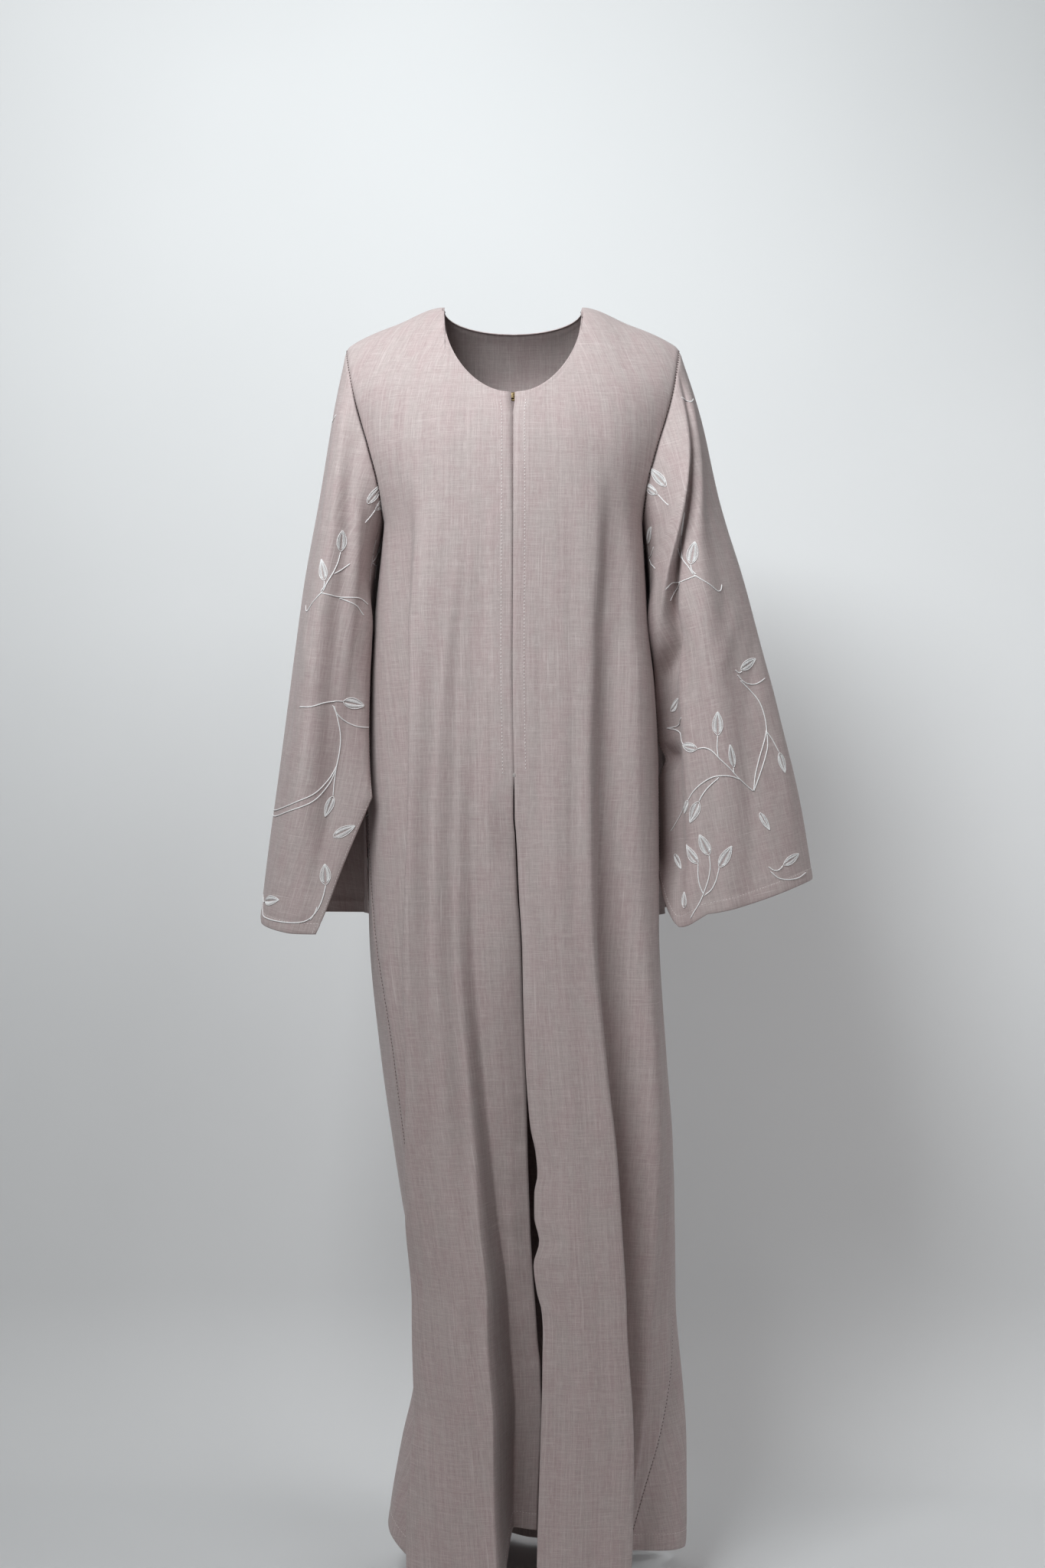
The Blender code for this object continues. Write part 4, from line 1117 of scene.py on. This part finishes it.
class Stitches:
    """Gathers short rounded stitches and makes one mesh of them."""

    def __init__(self):
        self.parts = []

    def add(self, starts, ends, ups, radius, arch):
        starts, ends, ups = (np.atleast_2d(a) for a in (starts, ends, ups))
        along = ends - starts
        length = np.linalg.norm(along, axis=1, keepdims=True)
        keep = length[:, 0] > SHORTEST_STITCH
        starts, ends, ups, along, length = (a[keep] for a in (starts, ends, ups, along, length))
        if len(starts) == 0:
            return
        side = across_unit(along / length, ups)
        points = [starts - ups * radius * 0.5]
        for share, wide in STITCH_RINGS:
            lift = arch * (1 - (2 * share - 1) ** 2) + radius * 0.35
            middle = starts + along * share + ups * lift
            for k in range(STITCH_SIDES):
                turn = 2 * math.pi * k / STITCH_SIDES
                points.append(middle + radius * wide * (side * math.cos(turn) + 0.8 * ups * math.sin(turn)))
        points.append(ends - ups * radius * 0.5)
        self.parts.append(np.stack(points, 1))

    def build(self, name, material):
        points = np.concatenate(self.parts)
        count, per = points.shape[:2]
        base = np.arange(count)[:, None] * per
        n = STITCH_SIDES
        tris = []
        quads = []
        for k in range(n):
            after = (k + 1) % n
            tris.append(base + np.array([0, 1 + k, 1 + after]))
            tris.append(base + np.array([per - 1, 1 + 2 * n + after, 1 + 2 * n + k]))
            for a in (1, 1 + n):
                quads.append(base + np.array([a + k, a + n + k, a + n + after, a + after]))
        faces = np.concatenate(tris).tolist() + np.concatenate(quads).tolist()
        return mesh_object(name, points.reshape(-1, 3), faces, material)


def across_unit(along, up):
    """Unit vectors across a row of stitches."""
    side = np.cross(along, up)
    return side / np.maximum(np.linalg.norm(side, axis=1, keepdims=True), 1e-6)


def inset_path(panel, axis, end, distance):
    """The line that runs at one distance from an edge of a panel, with its normals."""
    grid, normals = panel["grid"], panel["normals"]
    if axis == 0:
        grid, normals = grid.transpose(1, 0, 2), normals.transpose(1, 0, 2)
    if end == -1:
        grid, normals = grid[:, ::-1], normals[:, ::-1]
    place = np.array([np.interp(distance, line, np.arange(len(line))) for line in lengths(grid, 1)])
    cell = np.minimum(place.astype(int), grid.shape[1] - 2)
    part = (place - cell)[:, None]
    line = np.arange(len(grid))
    path = grid[line, cell] * (1 - part) + grid[line, cell + 1] * part
    return path, unit(normals[line, cell] * (1 - part) + normals[line, cell + 1] * part)


def resample(path, normals, places):
    """The points and normals at the given running lengths along a line."""
    run = run_along(path)
    found, normal = (
        np.stack([np.interp(places, run, source[:, k]) for k in range(3)], 1) for source in (path, normals)
    )
    return found, unit(normal)


def total_length(path):
    return float(np.linalg.norm(np.diff(path, axis=0), axis=1).sum())


def running(stitches, path, normals, thread):
    """A row of machine stitching along a line."""
    stitch, gap, radius = thread
    starts = np.arange(0.5, total_length(path) - stitch, stitch + gap)
    a, up = resample(path, normals, starts)
    b, _ = resample(path, normals, starts + stitch)
    stitches.add(a, b, up, radius, MACHINE_ARCH)


def between(values, place):
    """A value between two entries of a list."""
    cell = min(int(place), len(values) - 2)
    part = place - cell
    return values[cell] * (1 - part) + values[cell + 1] * part


class Surface:
    """Finds points on a panel from its flat coordinates."""

    def __init__(self, panel):
        self.sources = (panel["grid"], panel["normals"])
        self.across = panel["uv"][..., 0]
        self.down = panel["uv"][..., 1].T
        rows, cols = self.across.shape
        self.across_sense = np.sign(self.across[rows // 2, -1] - self.across[rows // 2, 0])
        self.down_sense = np.sign(self.down[cols // 2, -1] - self.down[cols // 2, 0])

    def at(self, flat):
        rows, cols = self.across.shape
        found = ([], [])
        for u, v in flat:
            c = cols / 2
            for _ in range(SEARCH_ROUNDS):
                line = between(self.down, c) * self.down_sense
                r = float(np.interp(v * self.down_sense, line, np.arange(rows)))
                line = between(self.across, r) * self.across_sense
                c = float(np.interp(u * self.across_sense, line, np.arange(cols)))
            first = min(int(r), rows - 2)
            for source, into in zip(self.sources, found):
                pair = between(source[first:first + 2].swapaxes(0, 1), c)
                into.append(between(pair, r - first))
        return np.array(found[0]), unit(np.array(found[1]))


def rounded_line(points, step=1.5):
    """A soft curve through a few flat points."""
    points = np.array(points, float)
    ends = np.concatenate([[2 * points[0] - points[1]], points, [2 * points[-1] - points[-2]]])
    found = []
    for k in range(1, len(ends) - 2):
        a, b, c, d = ends[k - 1:k + 3]
        count = max(2, int(np.linalg.norm(c - b) / step))
        for t in np.arange(count) / count:
            bend = (2 * a - 5 * b + 4 * c - d) * t**2
            found.append(0.5 * (2 * b + (c - a) * t + bend + (3 * b - a - 3 * c + d) * t**3))
    found.append(points[-1])
    return np.array(found)


def sew_stem(stitches, surface, points):
    """Stem stitch: long stitches, each beside the last, a little across the line."""
    path, normals = surface.at(rounded_line(points))
    starts = np.arange(0, max(total_length(path) - STEM_STITCH * 0.6, 0.1), STEM_STEP)
    a, up = resample(path, normals, starts)
    b, _ = resample(path, normals, np.minimum(starts + STEM_STITCH, total_length(path)))
    lean = across_unit(b - a, up) * STEM_LEAN
    stitches.add(a + lean, b - lean, up, STEM_RADIUS, STEM_ARCH)


def sew_leaf(stitches, surface, base, tip, width):
    """A leaf: an outline in short stitches, and slanted rows of thread on both sides of its vein."""
    base, tip = np.array(base, float), np.array(tip, float)
    along = tip - base
    length = float(np.hypot(*along))
    along /= length
    side = np.array([along[1], -along[0]])

    def edge(t, sense, share=1.0):
        half = width / 2 * np.sin(math.pi * np.clip(t, 0, 1) ** 0.82) ** 0.85
        return base + along * (t * length) + side * (sense * share * half)

    for sense in (-1, 1):
        path, normals = surface.at([edge(t, sense) for t in np.linspace(0, 1, OUTLINE_POINTS)])
        starts = np.arange(0, total_length(path) - OUTLINE_STITCH / 2, OUTLINE_STEP)
        a, up = resample(path, normals, starts)
        b, _ = resample(path, normals, np.minimum(starts + OUTLINE_STITCH, total_length(path)))
        stitches.add(a, b, up, OUTLINE_RADIUS, OUTLINE_ARCH)
        places = np.arange(FILL_BASE, length - FILL_TIP, FILL_STEP)
        a, up = surface.at([edge(x / length, sense, FILL_FROM) for x in places])
        slanted = [min((x + FILL_SLANT * width) / length, FILL_LAST) for x in places]
        b, _ = surface.at([edge(t, sense, FILL_TO) for t in slanted])
        stitches.add(a, b, up, FILL_RADIUS, FILL_ARCH)


# Across and down each sleeve's flat sheet: vines as lines of points, leaves as base, tip and width
VINES_LEFT = (
    ((70, 59), (60, 64), (50, 66), (39, 62)),
    ((151, 161), (146, 170), (140, 178)),
    ((203, 211), (210, 217), (219, 223)),
    ((220, 224), (208, 226), (198, 226), (190, 224), (180, 217)),
    ((200, 227), (195, 233), (190, 242)),
    ((128, 214), (128, 226), (126, 238), (122, 251), (120, 261)),
    ((140, 226), (133, 235), (127, 240)),
    ((119, 249), (120, 256), (117, 262)),
    ((120, 261), (113, 269), (104, 277), (94, 285), (87, 284), (83, 278)),
    ((117, 263), (127, 264), (140, 265), (160, 263), (176, 269)),
    ((139, 266), (158, 272), (172, 282)),
    ((88, 375), (83, 380), (77, 378)),
    ((86, 381), (77, 391), (61, 396), (42, 392)),
    ((83, 388), (68, 404), (60, 419), (58, 437), (60, 452), (63, 467), (72, 482), (84, 499), (94, 513)),
    ((60, 450), (67, 462), (78, 478), (88, 496), (94, 513)),
    ((61, 450), (55, 460), (48, 478)),
    ((94, 513), (104, 502), (113, 492), (121, 480), (129, 469), (136, 458), (144, 452), (153, 451)),
    ((131, 466), (130, 454), (127, 442)),
    ((116, 488), (117, 485), (115, 481)),
    ((108, 497), (123, 489), (140, 486), (155, 490), (167, 497), (176, 505)),
    ((134, 488), (147, 495), (156, 502), (162, 509)),
    ((177, 612), (179, 600), (178, 588), (175, 576)),
    ((178, 612), (169, 598), (163, 584), (161, 570)),
    ((177, 613), (167, 608), (159, 598), (153, 586)),
    ((177, 611), (184, 620), (192, 628), (199, 635)),
    ((96, 599), (91, 605), (84, 606), (77, 602)),
    ((95, 605), (87, 615), (73, 620), (58, 621), (43, 618)),
    ((226, 420), (207, 421), (190, 419), (170, 413)),
    ((226, 420), (206, 425), (188, 431), (172, 443)),
    ((192, 511), (204, 517), (217, 525), (232, 536)),
)
LEAVES_LEFT = (
    ((137, 156), (150, 130), 11),
    ((151, 161), (171, 144), 11),
    ((201, 210), (178, 194), 11),
    ((128, 214), (124, 190), 9),
    ((119, 249), (107, 225), 11),
    ((79, 376), (50, 368), 10),
    ((48, 478), (46, 502), 11),
    ((153, 451), (174, 443), 10),
    ((127, 442), (123, 416), 12),
    ((115, 481), (115, 455), 8),
    ((176, 505), (191, 519), 8),
    ((162, 509), (178, 530), 12),
    ((92, 538), (84, 560), 7),
    ((175, 576), (191, 553), 11),
    ((161, 570), (168, 545), 11),
    ((153, 586), (134, 566), 11),
    ((206, 622), (202, 604), 9),
    ((77, 602), (49, 595), 9),
    ((214, 402), (184, 391), 10),
    ((226, 562), (209, 579), 8),
)
VINES_RIGHT = (
    ((124, 402), (130, 401), (136, 401)),
    ((124, 406), (131, 416), (142, 423), (156, 427), (174, 427)),
    ((126, 407), (133, 424), (138, 441), (139, 459), (138, 476), (139, 494), (141, 508)),
    ((138, 474), (132, 489), (121, 503), (107, 514), (88, 524), (56, 533), (24, 536)),
    ((138, 476), (134, 493), (123, 510), (110, 521), (92, 530), (58, 540), (24, 541)),
    ((158, 607), (159, 622), (157, 636), (150, 648), (137, 653), (118, 655), (98, 655), (81, 653),
     (66, 644), (52, 632)),
    ((156, 632), (155, 641), (152, 648)),
    ((80, 637), (70, 639), (60, 634)),
    ((127, 402), (112, 405), (96, 411), (78, 413)),
)
LEAVES_RIGHT = (
    ((136, 401), (164, 403), 12),
    ((141, 508), (137, 532), 10),
    ((152, 553), (174, 538), 11),
    ((158, 607), (150, 584), 12),
    ((80, 637), (108, 631), 11),
)


def moved(vines, leaves, across, down, flip, keep):
    """The same vines set elsewhere on a sleeve: flip is 1 or -1 across, keep the range down it."""
    def place(p):
        return (across + flip * p[0], p[1] + down)

    def inside(points):
        return all(keep[0] < place(p)[1] < keep[1] for p in points)

    return (
        [[place(p) for p in line] for line in vines if inside(line)],
        [(place(a), place(b), w) for a, b, w in leaves if inside((a, b))],
    )


def embroider(panel, name, groups, material):
    surface = Surface(panel)
    stems, leaves = Stitches(), Stitches()
    for lines, sprigs in groups:
        for line in lines:
            sew_stem(stems, surface, line)
        for sprig in sprigs:
            sew_leaf(leaves, surface, *sprig)
    stems.build(name + "_vines", material)
    leaves.build(name + "_leaves", material)


def sew_seams(panels, material, seam_shade):
    """The machine stitching that shows: front edges, hems, cuffs and slits. Along the side seams,
    near-black stitches are painted shade of the seams' grooves.
    """
    rows = Stitches()
    for name, (end, place) in PLACKET_ROWS.items():
        path, normals = inset_path(panels[name], 1, end, place)
        closed = (path[:, 2] > ZIP_END) & (path[:, 2] < PLACKET_TOP)
        running(rows, path[closed], normals[closed], PLACKET_THREAD)
    for name in ("front_right", "front_left", "back"):
        running(rows, *inset_path(panels[name], 0, 0, HEM_DEPTH - 1), HEM_THREAD)
    first = int(SLIT_START * SLEEVE_ROWS) + 3
    for name in ("sleeve_left", "sleeve_right"):
        running(rows, *inset_path(panels[name], 0, -1, CUFF_DEPTH - 1), HEM_THREAD)
        for end in (0, -1):
            path, normals = inset_path(panels[name], 1, end, SLIT_STITCHES)
            running(rows, path[first:], normals[first:], HEM_THREAD)
    edge, normal = inset_path(panels["front_left"], 1, 0, 0.4)
    for step in range(BAR_STITCHES):
        height = ZIP_END + 1.5 - step * BAR_STEP
        row = int(np.argmin(np.abs(edge[:, 2] - height)))
        middle = edge[row] * [0, 1, 0] + [edge[row, 0], 0, height]
        rows.add(middle + BAR_START, middle + BAR_END, normal[row], BAR_RADIUS, BAR_ARCH)
    rows.build("seam_stitches", material)
    # near-black stitches sunk along the side seams: painted shade of the seams' grooves
    seams = Stitches()
    for name, end in (("front_left", -1), ("front_right", 0)):
        running(seams, *inset_path(panels[name], 1, end, 0.1), SEAM_SHADOW_THREAD)
    seams.build("side_seam_shade", seam_shade)


def make_zip_teeth(panels, material):
    """A fine coil that closes the zip behind the two front edges."""
    coil = Stitches()
    path, normals = inset_path(panels["front_left"], 1, 0, 0.1)
    shown = (path[:, 2] > ZIP_END + 4) & (path[:, 2] < ZIP_TOP - 8)
    path, normals = path[shown], normals[shown]
    middle, up = resample(path, normals, np.arange(0, total_length(path), COIL_STEP))
    middle = middle - up * COIL_BEHIND
    across = np.array([1.0, 0, 0]) * np.where(np.arange(len(middle)) % 2 == 0, 1, -1)[:, None]
    ends = middle + across * COIL_END + COIL_RISE
    coil.add(middle - across * COIL_START, ends, -up, COIL_RADIUS, COIL_ARCH)
    coil.build("zip_coil", material)


# ---------------------------------------------------------------- the studio, in metres

FLOOR = -1.475
WALL = 0.56  # where the paper stands up behind the cloak
CORNER_RADIUS = 0.22
CORNER_STEPS = 12
PAPER_SIDE = 4.5
PAPER_FRONT = -4.2
PAPER_TOP = 2.6
PAPER_COLORS = ((0.73, 0.735, 0.74), (0.76, 0.765, 0.77))
STUDIO_REACH = 9.0
STUDIO_BELOW = 0.002  # how far the wide floor lies below the paper
WORLD_COLOR = (1.0, 0.975, 0.955, 1)
WORLD_LIGHT = 0.085
WORLD_SEEN = 0.3  # how much brighter it looks straight from the camera
LIGHTS = (
    # name, place, target, size, watts, colour, spread in degrees
    ("key", (-0.8, -1.6, 1.05), (0.02, 0.0, 0.2), (1.1, 0.8), 17.9, (0.94, 0.985, 1.0), 96),
    ("floor bounce", (-0.1, -1.3, -1.33), (0.0, 0.0, -1.12), (1.4, 0.4), 0.36, (1.0, 0.76, 0.70), 110),
    ("chest fill", (0.95, -1.5, 1.2), (0.1, 0.0, -0.1), (0.9, 0.8), 1.9, (0.96, 0.985, 1.0), 84),
    ("wall wash", (-1.5, -0.9, 1.9), (-0.9, 0.6, 0.3), (1.6, 1.0), 13.4, (0.98, 0.99, 1.0), 180),
    ("wall fill", (1.7, -0.6, 0.2), (0.8, 0.56, -1.0), (0.9, 0.9), 2.6, (0.98, 0.99, 1.0), 80),
)
CAMERA_PLACE = (0.01106, -2.7, -0.55)
FOCAL_PIXELS = 3051
IMAGE_HEIGHT = 2048
SENSOR = 36.0


def paper_material():
    """One-sided paper: its reverse is clear, so the wall hides nothing from behind."""
    m = Nodes("pale paper")
    patch = m.place_noise(1.3, 3.0, 0.5)
    m.color_from(m.mix(m.between(patch, 0.3, 0.7), *PAPER_COLORS))
    set_inputs(m.shader, Roughness=0.9)
    one_side = m.add("ShaderNodeMixShader")
    m.value(one_side.inputs["Fac"], m.add("ShaderNodeNewGeometry").outputs["Backfacing"])
    m.value(one_side.inputs[1], m.shader.outputs["BSDF"])
    m.value(one_side.inputs[2], m.add("ShaderNodeBsdfTransparent").outputs["BSDF"])
    m.value(m.tree.nodes["Material Output"].inputs["Surface"], one_side.outputs["Shader"])
    return m.material


def make_stage():
    """A pale seamless sweep, floor, rounded corner and wall, and a wide floor beyond it."""
    paper = paper_material()
    profile = [(PAPER_FRONT, FLOOR)]
    for step in range(CORNER_STEPS + 1):
        turn = math.pi / 2 * step / CORNER_STEPS
        back = WALL - CORNER_RADIUS + CORNER_RADIUS * math.sin(turn)
        profile.append((back, FLOOR + CORNER_RADIUS - CORNER_RADIUS * math.cos(turn)))
    profile.append((WALL, PAPER_TOP))
    points = [(x, y, z) for y, z in profile for x in (-PAPER_SIDE, PAPER_SIDE)]
    faces = [(2 * i, 2 * i + 1, 2 * i + 3, 2 * i + 2) for i in range(len(profile) - 1)]
    sweep = new_object("sweep", points, faces, paper)
    sweep.data.shade_smooth()
    corners = ((-1, -1), (1, -1), (1, 1), (-1, 1))
    points = [(STUDIO_REACH * x, STUDIO_REACH * y, FLOOR - STUDIO_BELOW) for x, y in corners]
    new_object("studio_floor", points, [(0, 1, 2, 3)], paper)


def make_world():
    """The studio looks pale beyond the paper, and lights the cloth only a little."""
    world = bpy.data.worlds.new("studio")
    world.use_nodes = True
    background = world.node_tree.nodes["Background"]
    set_inputs(background, Color=WORLD_COLOR)
    seen = world.node_tree.nodes.new("ShaderNodeLightPath").outputs["Is Camera Ray"]
    strength = world.node_tree.nodes.new("ShaderNodeMath")
    strength.operation = "MULTIPLY_ADD"
    strength.inputs[1].default_value = WORLD_SEEN
    strength.inputs[2].default_value = WORLD_LIGHT
    world.node_tree.links.new(seen, strength.inputs[0])
    world.node_tree.links.new(strength.outputs[0], background.inputs["Strength"])
    bpy.context.scene.world = world


def area_light(name, place, target, size, power, color, spread):
    light = bpy.data.lights.new(name, "AREA")
    light.shape = "RECTANGLE"
    light.size, light.size_y = size
    light.energy = power
    light.color = color
    light.spread = math.radians(spread)
    obj = bpy.data.objects.new(name, light)
    obj.location = place
    obj.rotation_mode = "QUATERNION"
    obj.rotation_quaternion = (Vector(target) - Vector(place)).to_track_quat("-Z", "Y")
    bpy.context.scene.collection.objects.link(obj)


def make_camera():
    camera = bpy.data.cameras.new("camera")
    camera.sensor_fit = "AUTO"
    camera.sensor_width = SENSOR
    camera.lens = SENSOR * FOCAL_PIXELS / IMAGE_HEIGHT
    camera.clip_end = 50
    obj = bpy.data.objects.new("camera", camera)
    obj.location = CAMERA_PLACE
    obj.rotation_euler = (math.pi / 2, 0, 0)
    bpy.context.scene.collection.objects.link(obj)
    bpy.context.scene.camera = obj
    bpy.context.scene.view_settings.view_transform = "Standard"


def give_material(node, material):
    """Gives a CAD piece that stays another material."""
    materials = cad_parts[node].data.materials
    materials.clear()
    materials.append(material)


# ---------------------------------------------------------------- the scene

linen = linen_material()
panels = make_panels()
make_cloth(panels, linen)
# Threads: colour, roughness, sheen
silk = thread_material("silver white silk", (0.93, 0.92, 0.92), 0.34, 0.3)
sewing = thread_material("mauve sewing thread", (0.90, 0.85, 0.83), 0.6, 0.2)
coil = thread_material("mauve coil", (0.42, 0.34, 0.32), 0.4, 0.0)
# the near-black thread paints the shade in the side seams' grooves
seam_shadow_thread = thread_material("dark thread painting seam shade", (0.16, 0.115, 0.11), 0.8, 0.2)
sew_seams(panels, sewing, seam_shadow_thread)
make_zip_teeth(panels, coil)
embroider(panels["sleeve_left"], "sleeve_left", [
    (VINES_LEFT, LEAVES_LEFT),
    moved(VINES_LEFT, LEAVES_LEFT, 14, -12, -1, (20, 618)),
], silk)
embroider(panels["sleeve_right"], "sleeve_right", [
    (VINES_RIGHT, LEAVES_RIGHT),
    moved(VINES_LEFT, LEAVES_LEFT, -26, 20, 1, (30, 395)),
    moved(VINES_LEFT, LEAVES_LEFT, 6, 16, -1, (20, 645)),
], silk)
for tape in ("zip_tape_left", "zip_tape_right"):
    give_material(tape, thread_material("tape " + tape, (0.34, 0.27, 0.26), 0.8, 0.2))
give_material("zip_slider", brass_material())
make_stage()
make_world()
for light in LIGHTS:
    area_light(*light)
make_camera()
